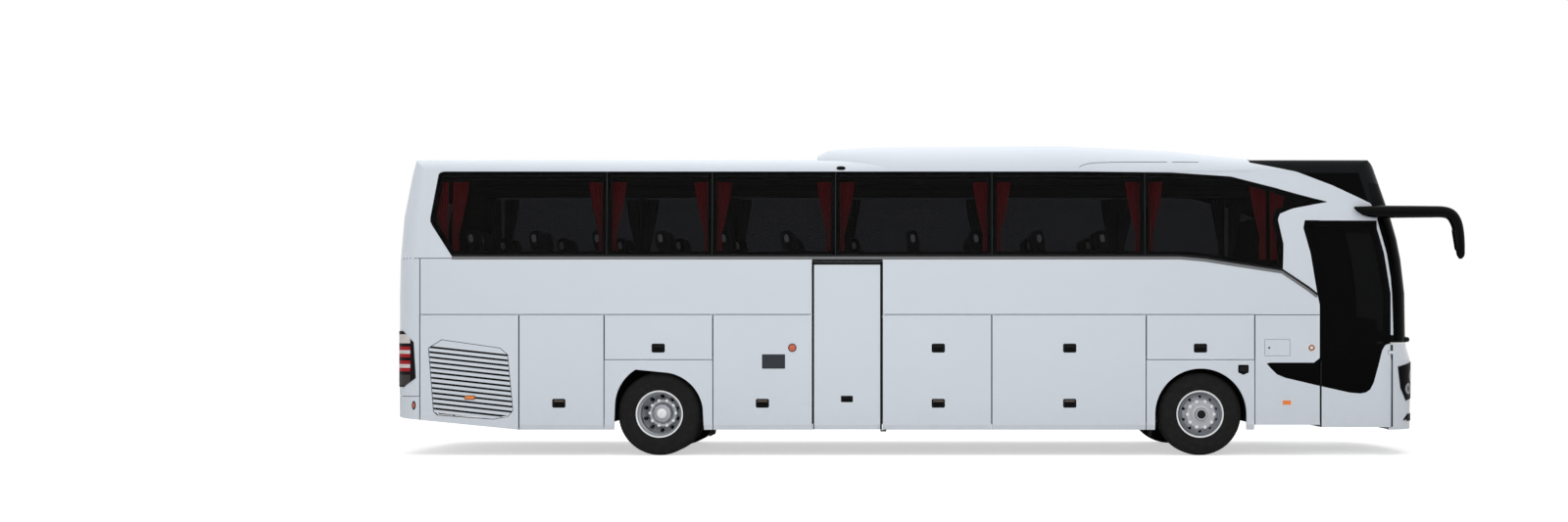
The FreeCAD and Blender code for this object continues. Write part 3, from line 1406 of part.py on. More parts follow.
build_all()
os.makedirs("parts", exist_ok=True)
for name, shape in parts.items():
    placed = shape.copy()
    placed.translate(Vec(-ORIGIN_X, 0, 0))
    placed.exportStep(f"parts/{name}.step")
    print(name, len(placed.Solids), placed.isValid(), round(placed.Volume / 1e9, 4))
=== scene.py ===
"""Touring coach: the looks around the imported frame, laid out as an add-on and run as a script."""

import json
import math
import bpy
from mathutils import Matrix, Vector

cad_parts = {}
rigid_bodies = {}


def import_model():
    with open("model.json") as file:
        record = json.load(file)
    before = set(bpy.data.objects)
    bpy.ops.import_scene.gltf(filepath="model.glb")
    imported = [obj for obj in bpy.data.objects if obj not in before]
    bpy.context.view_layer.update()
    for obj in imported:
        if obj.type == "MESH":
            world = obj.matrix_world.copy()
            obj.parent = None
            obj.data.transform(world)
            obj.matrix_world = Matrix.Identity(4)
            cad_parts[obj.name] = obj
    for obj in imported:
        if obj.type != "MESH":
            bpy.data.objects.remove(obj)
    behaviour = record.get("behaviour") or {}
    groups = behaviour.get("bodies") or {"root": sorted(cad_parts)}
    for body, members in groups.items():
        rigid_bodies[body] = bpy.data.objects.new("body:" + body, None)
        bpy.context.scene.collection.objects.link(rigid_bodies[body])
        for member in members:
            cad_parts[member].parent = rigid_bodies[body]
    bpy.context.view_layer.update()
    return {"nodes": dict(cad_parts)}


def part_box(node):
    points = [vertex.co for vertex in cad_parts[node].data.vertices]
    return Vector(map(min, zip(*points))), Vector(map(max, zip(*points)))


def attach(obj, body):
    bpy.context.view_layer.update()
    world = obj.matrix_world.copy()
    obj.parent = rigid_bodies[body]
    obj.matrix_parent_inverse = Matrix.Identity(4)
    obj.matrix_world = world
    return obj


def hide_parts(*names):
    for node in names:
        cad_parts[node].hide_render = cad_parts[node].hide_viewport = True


bl_info = {
    "name": "Touring coach",
    "version": (1, 0, 0),
    "blender": (4, 5, 0),
    "location": "View3D > Sidebar > Coach",
    "description": "Builds the finish and the fittings of a two-axle touring coach around its frame",
    "category": "Object",
}

from functools import partialmethod

import bmesh
import bpy
from mathutils import Matrix, Vector
from mathutils.bvhtree import BVHTree

for left_over in list(bpy.data.objects):
    bpy.data.objects.remove(left_over)
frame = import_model()

RIGHT = -1
LEFT = 1
SIDES = ((RIGHT, "right"), (LEFT, "left"))
RING = 2 * math.pi
# Edges sharper than this stay crisp on a smooth piece
SHARP_ANGLE = math.radians(40.0)

# Where the middle of the body lies in the frame: stations along the coach are metres forward of it
MIDDLE_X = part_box("rear_bumper")[0].x + 6.54
HALF_WIDTH = 1.275
BELT_Z = 2.48
LEAN = math.tan(math.radians(1.8))
GLASS_LOW_Z = 2.516
GLASS_TOP_Z = 3.577
DIVIDERS = (-3.803, -2.478, -0.929, 1.037, 2.958)
TYRE_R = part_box("front_tyre_right")[1].z / 2
FRONT_AXLE_X, REAR_AXLE_X = (
    (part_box(node)[0].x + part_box(node)[1].x) / 2 for node in ("front_tyre_right", "rear_tyres_right"))
# Distances of the outer and inner wheels from the middle plane
WHEEL_Y = 1.085
INNER_WHEEL_Y = 0.750
FLOOR_TOP_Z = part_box("cabin_floor")[1].z

# Edges of the colours, as (station, height)
SWOOSH_LOW = (
    (4.482, 1.163), (4.538, 1.099), (4.615, 1.023), (4.719, 0.980), (5.158, 0.877), (5.529, 0.794),
    (5.660, 0.783), (5.730, 0.796), (5.785, 0.833), (5.830, 0.920), (5.890, 1.140), (5.935, 1.320),
    (5.970, 1.382), (6.020, 1.406), (6.400, 1.410),
)
SWOOSH_TOP = ((4.482, 1.160), (4.530, 1.172), (5.080, 1.172), (5.159, 1.236), (6.400, 1.300))
CAP_LOW = (
    (4.270, 3.760), (4.290, 3.693), (4.871, 3.573), (5.321, 3.401), (5.797, 3.176),
    (5.938, 2.983), (6.028, 2.556), (6.072, 2.040), (6.092, 1.523), (6.094, 1.400),
)
# Edges of the black point ahead of the side windows
TIP_TOP = ((4.600, 3.370), (4.866, 3.295), (5.071, 3.241), (5.246, 3.198))
TIP_LOW = ((4.600, 3.030), (4.660, 3.045), (4.814, 3.110), (5.045, 3.154), (5.246, 3.190))
# Black band under the windscreen: its foot and top
BAND_LOW_Z, BAND_TOP_Z = 1.405, 1.520
# Foot of the painted reflection on the black cap's frame, a dark grey; a point on its sloping rear edge and how
# that edge leans
FRAME_LOW_Z, FRAME_X, FRAME_Z, FRAME_LEAN = 3.000, 5.650, 3.552, 0.327
# Stations of the seams between the lower side panels
SEAMS = (-6.150, -4.904, -3.834, -2.470, -1.218, -0.341, 1.033, 2.974, 4.335)
# Half width of the painted shade along each seam, black over the flaps' edges beside the gap
SEAM_SHADE_HALF = 0.0075
# Path of the moulding below the side windows
BELT_PATH = ((-5.745, 2.497), (3.400, 2.497), (3.700, 2.470), (4.680, 2.318), (5.020, 2.090), (5.120, 2.010))

WHITE = (0.695, 0.745, 0.812, 1.0)
BLACK = (0.0014, 0.0015, 0.0017, 1.0)
# A lighter black: painted reflection on the cap's frame and high on the windscreen's border
CAP_REFLECTION_GREY = (0.0095, 0.0105, 0.0115, 1.0)
# Dark grey of the lining inside; on the flaps it paints the shade in the gaps and in the grille's slots
LINING_AND_SHADE_GREY = (0.006, 0.006, 0.007, 1.0)


def at(station):
    """Place along the frame's X of a station."""
    return MIDDLE_X + station


def side_y(z):
    """Half width of the outside of the body at a height."""
    return HALF_WIDTH - max(0.0, z - BELT_Z) * LEAN


# ---------------------------------------------------------------- meshes
def mesh_object(name, mesh, materials=()):
    obj = bpy.data.objects.new(name, mesh)
    bpy.context.scene.collection.objects.link(obj)
    for material in materials:
        mesh.materials.append(material)
    return obj


def from_bmesh(name, bm, materials, smooth=True):
    """Makes an object of a mesh, with its doubles merged and its faces turned outwards."""
    bmesh.ops.remove_doubles(bm, verts=bm.verts, dist=1e-5)
    bmesh.ops.recalc_face_normals(bm, faces=bm.faces)
    mesh = bpy.data.meshes.new(name)
    bm.to_mesh(mesh)
    bm.free()
    if smooth:
        mesh.shade_smooth()
        mesh.set_sharp_from_angle(angle=SHARP_ANGLE)
    return mesh_object(name, mesh, materials)


def bridge(bm, a, b, closed=True):
    """Faces between two rows with as many points each."""
    for k in range(len(a) if closed else len(a) - 1):
        m = (k + 1) % len(a)
        bm.faces.new((a[k], a[m], b[m], b[k]))


def add_loft(bm, loops):
    """A solid through loops with as many points each, closed at both ends."""
    for a, b in zip(loops, loops[1:]):
        bridge(bm, a, b)
    bm.faces.new(loops[0])
    bm.faces.new(list(reversed(loops[-1])))


def add_prism(bm, outline, low, high, place):
    """A solid between two copies of an outline; place turns (a, b, depth) into a point."""
    add_loft(bm, [[bm.verts.new(place(a, b, depth)) for a, b in outline] for depth in (low, high)])


def add_lathe(bm, profile, centre, out, count=96, forward=False):
    """Turns a profile of (radius, distance outboard) about an axle line, or about a line forward."""
    x, y, z = centre
    rings = []
    for i in range(count):
        c, s = math.cos(RING * i / count), math.sin(RING * i / count)
        if forward:
            ring = [(x + out * w, y + r * c, z + r * s) for r, w in profile]
        else:
            ring = [(x + r * c, y + out * w, z + r * s) for r, w in profile]
        rings.append([bm.verts.new(point) for point in ring])
    for a, b in zip(rings, rings[1:] + rings[:1]):
        bridge(bm, a, b)


def add_tube(bm, points, sizes, sides=12, squash=1.0):
    """A round or flattened tube through points, with a radius for each, closed at both ends."""
    rings = []
    for i, point in enumerate(points):
        before, after = points[max(i - 1, 0)], points[min(i + 1, len(points) - 1)]
        along = (Vector(after) - Vector(before)).normalized()
        across = along.cross(Vector((0, 1, 0))).normalized()
        aside = along.cross(across).normalized()
        ring = []
        for k in range(sides):
            angle = RING * k / sides
            offset = across * math.cos(angle) * sizes[i] + aside * math.sin(angle) * sizes[i] * squash
            ring.append(bm.verts.new(Vector(point) + offset))
        rings.append(ring)
    add_loft(bm, rings)


def smooth_path(points, steps):
    """More points along a path, rounded through the given ones."""
    path = []
    for i in range(len(points) - 1):
        p0 = Vector(points[max(i - 1, 0)])
        p1, p2 = Vector(points[i]), Vector(points[i + 1])
        p3 = Vector(points[min(i + 2, len(points) - 1)])
        for k in range(steps):
            t = k / steps
            path.append(0.5 * (2 * p1 + (p2 - p0) * t + (2 * p0 - 5 * p1 + 4 * p2 - p3) * t * t
                               + (3 * p1 - p0 - 3 * p2 + p3) * t ** 3))
    path.append(Vector(points[-1]))
    return path


def on_side(side):
    """Placing function for outlines of (station, height) that lie on the side wall."""
    def place(station, z, depth):
        return (at(station), side * (side_y(z) - depth), z)
    return place


def rounded(x0, x1, z0, z1, r, steps=4):
    """Outline of a rectangle with rounded corners."""
    points = []
    corners = ((x1 - r, z1 - r), (x0 + r, z1 - r), (x0 + r, z0 + r), (x1 - r, z0 + r))
    for quarter, (cx, cz) in enumerate(corners):
        for k in range(steps + 1):
            angle = math.pi / 2 * (quarter + k / steps)
            points.append((cx + r * math.cos(angle), cz + r * math.sin(angle)))
    return points


def centred(x, z, w, h, r):
    """A rounded rectangle about its middle; w and h are half its width and height."""
    return rounded(x - w, x + w, z - h, z + h, r)


def disc_outline(x, z, r, count):
    return [(x + r * math.cos(RING * i / count), z + r * math.sin(RING * i / count)) for i in range(count)]


def plain_mesh(obj):
    """The mesh of an object with its modifiers carried out."""
    bpy.context.view_layer.update()
    return bpy.data.meshes.new_from_object(obj.evaluated_get(bpy.context.evaluated_depsgraph_get()))


def bevelled(obj, width, segments=2):
    """Rounds the piece's hard edges for good."""
    modifier = obj.modifiers.new("Bevel", "BEVEL")
    modifier.width = width
    modifier.segments = segments
    modifier.limit_method = "ANGLE"
    mesh = plain_mesh(obj)
    obj.modifiers.clear()
    obj.data = mesh
    return obj


def finish_piece(obj, body="coachwork", replaces=()):
    """Fastens a piece to its body and the nodes that it stands for."""
    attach(obj, body)
    for node in replaces:
        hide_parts(node)
    return obj


def piece(name, finish, add, *shape, body="coachwork", slot="gloss_black", replaces=()):
    """Makes a piece with one of the add_ functions, fastened to its body; round pieces are shaded smooth."""
    bm = bmesh.new()
    add(bm, *shape)
    smooth = add in (add_lathe, add_tube, add_pillow, add_blocks)
    return finish_piece(from_bmesh(name, bm, [FINISH[finish]], smooth), body, replaces)


# ---------------------------------------------------------------- materials
class Nodes:
    """A node tree, built node by node."""

    def __init__(self, tree):
        self.tree = tree

    def node(self, kind, inputs=(), output=0, **settings):
        made = self.tree.nodes.new(kind)
        for name, value in settings.items():
            setattr(made, name, value)
        for key, value in dict(inputs).items():
            self.feed(made.inputs[key], value)
        return made.outputs[output]

    def feed(self, socket, value):
        if isinstance(value, bpy.types.NodeSocket):
            self.tree.links.new(value, socket)
        else:
            socket.default_value = value

    def split(self, vector):
        """The three parts of a vector."""
        made = self.tree.nodes.new("ShaderNodeSeparateXYZ")
        self.feed(made.inputs[0], vector)
        return tuple(made.outputs)

    def math(self, operation, a, b=0.0, c=0.0):
        return self.node("ShaderNodeMath", {0: a, 1: b, 2: c}, operation=operation)

    times = partialmethod(math, "MULTIPLY")
    minus = partialmethod(math, "SUBTRACT")
    most = partialmethod(math, "MAXIMUM")
    over = partialmethod(math, "GREATER_THAN")
    under = partialmethod(math, "LESS_THAN")
    size = partialmethod(math, "ABSOLUTE")
    sine = partialmethod(math, "SINE")


def shade(colour, factor, lift=0.0):
    """A colour made lighter or darker."""
    return [min(1.0, c * factor + lift) for c in colour[:3]] + [1.0]


class Finish(Nodes):
    """One material around a Principled shader; x, y and z are the place on the coach."""

    def __init__(self, name, roughness=0.5, metallic=0.0, **sockets):
        self.material = bpy.data.materials.new(name)
        self.material.use_nodes = True
        super().__init__(self.material.node_tree)
        self.shader = self.tree.nodes["Principled BSDF"]
        self.shader.inputs["Roughness"].default_value = roughness
        self.shader.inputs["Metallic"].default_value = metallic
        for socket, value in sockets.items():
            self.shader.inputs[socket.replace("_", " ")].default_value = value
        self.place = self.node("ShaderNodeTexCoord", output="Object")
        self.x, self.y, self.z = self.split(self.place)

    def noise(self, scale, detail=3.0, stretch=None):
        place = self.place
        if stretch:
            place = self.node("ShaderNodeMapping", {"Vector": place, "Scale": stretch})
        return self.node("ShaderNodeTexNoise", {"Vector": place, "Scale": scale, "Detail": detail})

    def normal(self):
        """The true direction in which a face looks, in three parts."""
        return self.split(self.node("ShaderNodeNewGeometry", output=3))

    def between(self, value, low, high):
        """0 below low, 1 above high, and a smooth step between."""
        inputs = {"Value": value, "From Min": low, "From Max": high}
        return self.node("ShaderNodeMapRange", inputs, interpolation_type="SMOOTHSTEP")

    def mix(self, factor, a, b):
        return self.node("ShaderNodeMix", {0: factor, 6: a, 7: b}, 2, data_type="RGBA")

    def vary(self, colour, amount, scale, detail=3.0):
        """A colour that drifts a little lighter and darker over the surface."""
        return self.mix(self.noise(scale, detail), shade(colour, 1 - amount), shade(colour, 1 + amount))

    def bump(self, height, strength, distance):
        bumped = self.node("ShaderNodeBump", {"Height": height, "Strength": strength, "Distance": distance})
        self.feed(self.shader.inputs["Normal"], bumped)

    def edge_height(self, edge):
        """Height of a colour's edge over the station, read from a curve through its points."""
        x0, x1 = edge[0][0], edge[-1][0]
        share = self.math("DIVIDE", self.minus(self.x, at(x0)), x1 - x0)
        made = self.tree.nodes.new("ShaderNodeFloatCurve")
        curve = made.mapping.curves[0]
        while len(curve.points) > 2:
            curve.points.remove(curve.points[-1])
        for point, (x, z) in zip(list(curve.points), (edge[0], edge[-1])):
            point.location = ((x - x0) / (x1 - x0), z / 4)
        for x, z in edge[1:-1]:
            curve.points.new((x - x0) / (x1 - x0), z / 4)
        for point in curve.points:
            point.handle_type = "VECTOR"
        made.mapping.update()
        self.feed(made.inputs["Value"], share)
        return self.times(made.outputs[0], 4.0)

    def above(self, edge):
        """1 above a colour's edge, 0 below it and behind its first station."""
        return self.times(self.over(self.z, self.edge_height(edge)), self.over(self.x, at(edge[0][0])))

    def colour(self, value):
        self.feed(self.shader.inputs["Base Color"], value)
        return self.material


def paint(name, colour, black_mask=None, inside=None):
    """Coach paint: faint orange peel, mottled and darker towards the bottom, black zones with a painted
    reflection on the cap's frame, and a dark grey lining inside that also paints the shade in the flaps' gaps.
    """
    f = Finish(name, roughness=0.28, Coat_Roughness=0.06)
    base = f.vary(colour, 0.015, 1.3)
    # Mottled, darker and browner towards the bottom
    low = f.times(f.minus(1.0, f.between(f.z, 0.30, 0.95)), f.noise(9.0, 6.0))
    base = f.mix(f.times(low, 0.16), base, (0.42, 0.40, 0.37, 1.0))
    gloss = 1.0
    if black_mask:
        black = black_mask(f)
        # Black zones, nearly without gloss; on the cap's frame a lighter grey is painted in as its reflection
        base = f.mix(black, base, f.mix(cap_painted_reflection(f), BLACK, CAP_REFLECTION_GREY))
        gloss = f.minus(1.0, f.times(black, 0.95))
    # The lining inside; on the flaps the same dark grey is painted shade in the gaps and slots
    if inside:
        lining_and_gap_shade = inside(f)
        base = f.mix(lining_and_gap_shade, base, LINING_AND_SHADE_GREY)
        gloss = f.times(gloss, f.minus(1.0, f.times(lining_and_gap_shade, 0.9)))
    f.feed(f.shader.inputs["Specular IOR Level"], f.times(gloss, 0.5))
    f.feed(f.shader.inputs["Coat Weight"], f.times(gloss, 0.4))
    f.bump(f.noise(260.0, 2.0), 0.035, 0.001)
    return f.colour(base)


def behind_glass(f):
    """1 where the upper wall lies set back by 4 mm or more, behind the glass or inside the coach."""
    lean = f.times(f.most(f.minus(f.z, BELT_Z), 0.0), LEAN)
    depth = f.minus(f.minus(HALF_WIDTH, lean), f.size(f.y))
    return f.times(f.over(depth, 0.004), f.over(f.z, 1.80))


def swoosh(f):
    """1 on the black that sweeps back from the front door's foot, and on the cap."""
    low = f.above(SWOOSH_LOW)
    high = f.under(f.z, f.edge_height(SWOOSH_TOP))
    return f.most(f.times(low, high), cap_black(f))


def window_tip(f):
    """1 on the black point in which the windows' band runs out towards the windscreen."""
    below = f.under(f.z, f.edge_height(TIP_TOP))
    behind = f.under(f.x, at(TIP_TOP[-1][0]))
    return f.times(f.times(below, behind), f.above(TIP_LOW))


def wall_black(f):
    return f.most(swoosh(f), window_tip(f))


def door_black(f):
    return f.above(SWOOSH_LOW)


def cap_black(f):
    return f.above(CAP_LOW)


def front_black(f):
    """The cap and the dark band that runs round under the windscreen."""
    band = f.times(f.between(f.z, BAND_LOW_Z, BAND_LOW_Z + 0.002), f.under(f.z, BAND_TOP_Z))
    return f.most(f.most(cap_black(f), band), window_tip(f))


def cap_painted_reflection(f):
    """1 on the cap's frame, where a painted reflection turns the black to dark grey; 0 on its quarter panel and
    on all that lies lower.
    """
    edge = f.minus(at(FRAME_X) + FRAME_Z * FRAME_LEAN, f.times(f.z, FRAME_LEAN))
    top = f.over(f.z, FRAME_Z + 0.008)
    return f.times(f.most(f.over(f.x, edge), top), f.over(f.z, FRAME_LOW_Z))


def lining(f):
    """1 on faces that look into the coach or down at the road."""
    ahead, aside, total = f.normal()
    for place, facing in ((f.x, ahead), (f.y, aside)):
        total = f.math("ADD", total, f.times(f.math("SIGN", place), facing))
    return f.under(total, -0.45)


def painted_gap_shade(f):
    """1 on the edges and the back of a flap, in bands along the seams and deep in the grille's slots: black, the
    painted shade of the gaps and slots.

    The white outside may lie 3 mm deep, 2.2 mm more on the grille's blades and 30 mm more at the foot."""
    depth = f.minus(HALF_WIDTH, f.size(f.y))
    blades = f.times(f.over(f.x, at(-6.080)), f.under(f.x, at(-4.970)))
    allowed = f.math("ADD", f.times(blades, 0.0022), 0.0030)
    foot = f.times(f.under(f.z, 0.400), 0.030)
    edge = f.over(depth, f.math("ADD", allowed, foot))
    # Painted shade: a black band along each seam
    for station in SEAMS:
        near = f.size(f.minus(f.x, at(station)))
        edge = f.most(edge, f.under(near, SEAM_SHADE_HALF))
    return edge


# Top of the windscreen's black foot, and height from which its black border takes the cap's painted reflection, a
# lighter grey
GLASS_FOOT_Z, CAP_REFLECTION_Z = 1.600, 3.090


def glass(name, tint, far_side_shade_tint=None, border=None):
    """Tinted safety glass with a faint waviness; black foot and black beyond the border on each side, a painted
    reflection on that border high up, and painted shade: a far darker tint on the left-hand side.
    """
    f = Finish(name, roughness=0.02, Transmission_Weight=1.0, IOR=1.13, Specular_IOR_Level=0.08)
    f.bump(f.noise(1.6, 1.0), 0.05, 0.01)
    value = f.vary(tint, 0.06, 2.0)
    # Painted shade: the left-hand glass, on the far side, takes a far darker tint
    if far_side_shade_tint:
        value = f.mix(f.over(f.y, 0.0), value, far_side_shade_tint)
    if border:
        black = f.most(f.over(f.size(f.y), border), f.under(f.z, GLASS_FOOT_Z))
        f.feed(f.shader.inputs["Transmission Weight"], f.minus(1.0, black))
        # High up, the border takes the cap's painted reflection, a lighter grey
        value = f.mix(black, value, f.mix(f.over(f.z, CAP_REFLECTION_Z), BLACK, CAP_REFLECTION_GREY))
    return f.colour(value)


def rubber():
    """Tyre rubber with dust in it."""
    f = Finish("tyre_rubber", roughness=0.78, Specular_IOR_Level=0.22)
    dust = f.times(f.between(f.noise(14.0, 6.0), 0.42, 0.75), 0.35)
    f.bump(f.noise(420.0, 3.0), 0.12, 0.001)
    return f.colour(f.mix(dust, (0.0075, 0.0075, 0.008, 1), (0.022, 0.021, 0.020, 1)))


def wheel_paint():
    """Silver wheel paint with road dirt on it."""
    f = Finish("wheel_silver", roughness=0.30, metallic=0.75, Coat_Weight=0.3, Coat_Roughness=0.15)
    dirt = f.times(f.between(f.noise(22.0, 7.0), 0.5, 0.8), 0.5)
    f.bump(f.noise(300.0, 2.0), 0.06, 0.001)
    return f.colour(f.mix(dirt, (0.46, 0.48, 0.51, 1), (0.26, 0.255, 0.25, 1)))


def plastic(name, colour, roughness=0.5, grain=350.0, depth=0.1, shine=0.25):
    """Moulded plastic with a fine grain and slight handling marks."""
    f = Finish(name, roughness=roughness, Specular_IOR_Level=shine)
    f.bump(f.noise(grain, 4.0), depth, 0.001)
    wear = {"Value": f.noise(7.0, 5.0), "To Min": roughness - 0.08, "To Max": roughness + 0.1}
    f.feed(f.shader.inputs["Roughness"], f.node("ShaderNodeMapRange", wear))
    return f.colour(f.vary(colour, 0.12, 5.0, 6.0))


def metal(name, colour, roughness, scratches=0.12):
    f = Finish(name, roughness=roughness, metallic=1.0)
    f.bump(f.noise(90.0, 4.0, (1.0, 12.0, 12.0)), scratches, 0.0006)
    return f.colour(f.vary(colour, 0.08, 6.0, 5.0))


def underbody(name, colour):
    """Satin chassis paint with road dust on it."""
    f = Finish(name, roughness=0.62)
    dust = f.between(f.noise(6.0, 8.0), 0.45, 0.8)
    f.bump(f.noise(120.0, 5.0), 0.2, 0.001)
    return f.colour(f.mix(f.times(dust, 0.3), colour, (0.16, 0.145, 0.125, 1)))


def weave(name, colour, second, scale, sheen, depth=0.4, lining=None):
    """Woven cloth with a soft sheen; lining is the colour of the side towards the aisle."""
    f = Finish(name, roughness=0.9, Sheen_Weight=sheen, Sheen_Roughness=0.4)
    warp = f.sine(f.times(f.x, scale))
    weft = f.sine(f.times(f.z, scale))
    thread = f.times(warp, weft)
    f.bump(thread, depth, 0.0008)
    drift = f.mix(f.noise(18.0, 6.0), colour, second)
    cloth = f.mix(f.between(thread, -0.4, 0.9), drift, shade(colour, 0.7))
    if lining:
        inwards = f.under(f.times(f.y, f.normal()[1]), 0.0)
        cloth = f.mix(inwards, cloth, lining)
    return f.colour(cloth)


def lens(name, colour, cell):
    """A moulded lamp lens with fine prisms."""
    f = Finish(name, roughness=0.12, Coat_Weight=1.0, Coat_Roughness=0.03)
    prism = f.times(f.sine(f.times(f.y, cell)),
                   f.sine(f.times(f.z, cell)))
    f.bump(prism, 0.35, 0.002)
    return f.colour(f.mix(f.between(prism, -0.2, 0.8), colour, shade(colour, 1.7, 0.02)))


def tail_lens():
    """A tail lamp in one black housing: red, clear and red rounds, one above the other."""
    f = Finish("tail_lens", roughness=0.35, Specular_IOR_Level=0.03)
    low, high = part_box("tail_lamps")
    share = f.math("DIVIDE", f.minus(f.z, low.z), high.z - low.z)
    cell = f.math("FRACT", f.times(share, 4.0))
    band = f.times(f.between(cell, 0.10, 0.14), f.minus(1.0, f.between(cell, 0.86, 0.90)))
    centre = f.under(f.size(f.minus(cell, 0.5)), 0.13)
    clear = f.most(f.over(share, 0.75), f.times(centre, f.between(share, 0.24, 0.25)))
    lit = f.mix(f.between(share, 0.24, 0.25), (0.06, 0.055, 0.055, 1), (0.42, 0.02, 0.03, 1))
    lit = f.mix(clear, lit, (0.70, 0.66, 0.66, 1))
    reach = f.times(f.between(f.size(f.x), 6.47, 6.49), f.under(share, 0.94))
    f.bump(f.sine(f.times(f.z, 700.0)), 0.2, 0.001)
    return f.colour(f.mix(f.times(band, reach), (0.012, 0.01, 0.011, 1), lit))


def mirror_glass():
    f = Finish("mirror_glass", roughness=0.03, metallic=1.0)
    f.bump(f.noise(3.0, 1.0), 0.02, 0.001)
    return f.colour(f.vary((0.35, 0.37, 0.40), 0.05, 4.0))


def floor_paint():
    """White floor that glows a little for the camera alone."""
    f = Finish("studio_floor", roughness=0.9, Specular_IOR_Level=0.1, Emission_Color=(1, 1, 1, 1))
    seen = f.node("ShaderNodeLightPath", output="Is Camera Ray")
    f.feed(f.shader.inputs["Emission Strength"], f.times(seen, 0.55))
    return f.colour(f.vary((0.92, 0.92, 0.92), 0.004, 0.4))


def headlamp_glass():
    """A dark lamp glass with painted reflections of three reflectors behind it: bright discs, one above the
    other.
    """
    f = Finish("headlamp_glass", roughness=0.3, Specular_IOR_Level=0.02)
    aside = f.size(f.y)
    lit = None
    for y, z, r in ((0.98, 1.000, 0.085), (1.08, 0.840, 0.075), (0.84, 1.060, 0.070)):
        across = f.minus(aside, y)
        up = f.minus(f.z, z)
        far = f.math("SQRT", f.math("ADD", f.times(across, across), f.times(up, up)))
        round_spot = f.minus(1.0, f.between(far, r - 0.008, r))
        core = f.between(far, r * 0.45, r * 0.55)
        painted_reflection = f.times(round_spot, f.math("ADD", f.times(core, 0.7), 0.3))
        lit = painted_reflection if lit is None else f.most(lit, painted_reflection)
    # The light grey discs are painted reflection on the glass
    return f.colour(f.mix(lit, f.vary((0.004, 0.004, 0.005, 1), 0.3, 20.0), (0.38, 0.40, 0.42, 1)))


FINISH = {}


def make_finishes(colours):
    """Fills the table of finishes that the pieces take theirs from."""
    body = colours.body
    FINISH.update(
        wall=paint("coach_white", body, wall_black, behind_glass),
        fairing=paint("roof_unit_white", body, cap_black, lining),
        roof=paint("roof_white", body, cap_black, lining),
        plain=paint("panel_white", body),
        flap=paint("flap_white", body, None, painted_gap_shade),
        ends=paint("end_white", body, None, lining),
        door=paint("door_black", body, door_black, behind_glass),
        front=paint("front_white", body, front_black, lining),
        black=plastic("gloss_black", BLACK, 0.18, 200.0, 0.02, 0.08),
        trim=plastic("black_trim", (0.010, 0.010, 0.011, 1), 0.45, 350.0, 0.1, 0.12),
        # The second, far darker tint is painted shade on the left-hand glass
        tinted=glass("tinted_glass", (0.30, 0.30, 0.315, 1), (0.020, 0.021, 0.024, 1)),
        clear=glass("front_glass", (0.10, 0.105, 0.11, 1), None, 0.985),
        door_glass=glass("door_glass", (0.028, 0.028, 0.031, 1)),
        rear_glass=glass("rear_glass", (0.03, 0.03, 0.032, 1)),
        rubber=rubber(),
        wheel=wheel_paint(),
        bright=metal("polished_steel", (0.78, 0.79, 0.80), 0.16),
        strip=metal("brushed_moulding", (0.20, 0.205, 0.21), 0.34),
        nut=metal("plated_nut", (0.80, 0.81, 0.82), 0.25, 0.3),
        chassis=underbody("chassis_black", (0.02, 0.02, 0.021, 1)),
        casting=underbody("engine_casting", (0.13, 0.13, 0.135, 1)),
        housing=plastic("wheel_box_plastic", (0.016, 0.016, 0.017, 1), 0.8, 90.0, 0.3),
        flooring=plastic("floor_covering", (0.07, 0.07, 0.075, 1), 0.75, 500.0, 0.2),
        cab=plastic("cab_plastic", (0.035, 0.035, 0.04, 1), 0.6, 600.0, 0.25),
        flap_grey=plastic("flap_grey", (0.030, 0.035, 0.042, 1), 0.45),
        divider=plastic("divider_grey", (0.026, 0.030, 0.030, 1), 0.5),
        plate=plastic("plate_white", (0.72, 0.72, 0.70, 1), 0.4, 80.0, 0.02),
        rack=plastic("rack_plastic", (0.012, 0.012, 0.013, 1), 0.6),
        curtain=weave("curtain_cloth", colours.curtain, shade(colours.curtain, 0.7), 2400.0, 0.5,
                      lining=(0.006, 0.004, 0.004, 1)),
        seat=weave("seat_cloth", colours.seat, (0.020, 0.012, 0.014, 1), 1500.0, 0.1),
        headrest=weave("headrest_cloth", (0.62, 0.62, 0.64, 1), (0.50, 0.50, 0.52, 1), 1500.0, 0.2),
        clear_lens=lens("clear_lens", (0.60, 0.61, 0.63, 1), 500.0),
        headlamp=headlamp_glass(),
        red_lens=lens("red_lens", (0.45, 0.008, 0.01, 1), 600.0),
        amber=lens("amber_lens", (0.85, 0.20, 0.02, 1), 700.0),
        smoked=lens("smoked_amber_lens", (0.055, 0.030, 0.012, 1), 700.0),
        turn=lens("turn_lens", (0.30, 0.10, 0.025, 1), 700.0),
        warning=lens("warning_red_lens", (0.50, 0.075, 0.02, 1), 700.0),
        tail=tail_lens(),
        mirror=mirror_glass(),
    )


# Nodes of the frame under the finish that each of them takes; other flaps and panels are plain
FINISHED_NODES = {
    "wall": "side_wall_right side_wall_left",
    "door": "cab_side_left front_door",
    "front": "front_frame",
    "ends": "rear_wall front_mask",
    "roof": "roof_shell",
    "fairing": "roof_fairing",
    "door_glass": "front_door_glass",
    "tinted": "side_glass",
    "clear": "windscreen",
    "rear_glass": "rear_window",
    "wheel": "front_rim_right front_rim_left rear_rims_right rear_rims_left",
    "chassis": "rear_axle front_axle steering_knuckle_right steering_knuckle_left chassis_frame luggage_bay "
               "fuel_tank",
    "casting": "engine",
    "housing": "wheel_housings",
    "flooring": "cabin_floor cab_floor",
    "cab": "dashboard steering_wheel",
    "rack": "luggage_racks",
    "headlamp": "headlamps",
    "tail": "tail_lamps",
}
NODE_FINISH = {node: finish for finish, nodes in FINISHED_NODES.items() for node in nodes.split()}
# Nodes that finer pieces stand for
REPLACED = (
    "front_tyre_right", "front_tyre_left", "rear_tyres_right", "rear_tyres_left", "mirrors", "curtains",
    "passenger_seats", "driver_seat",
)


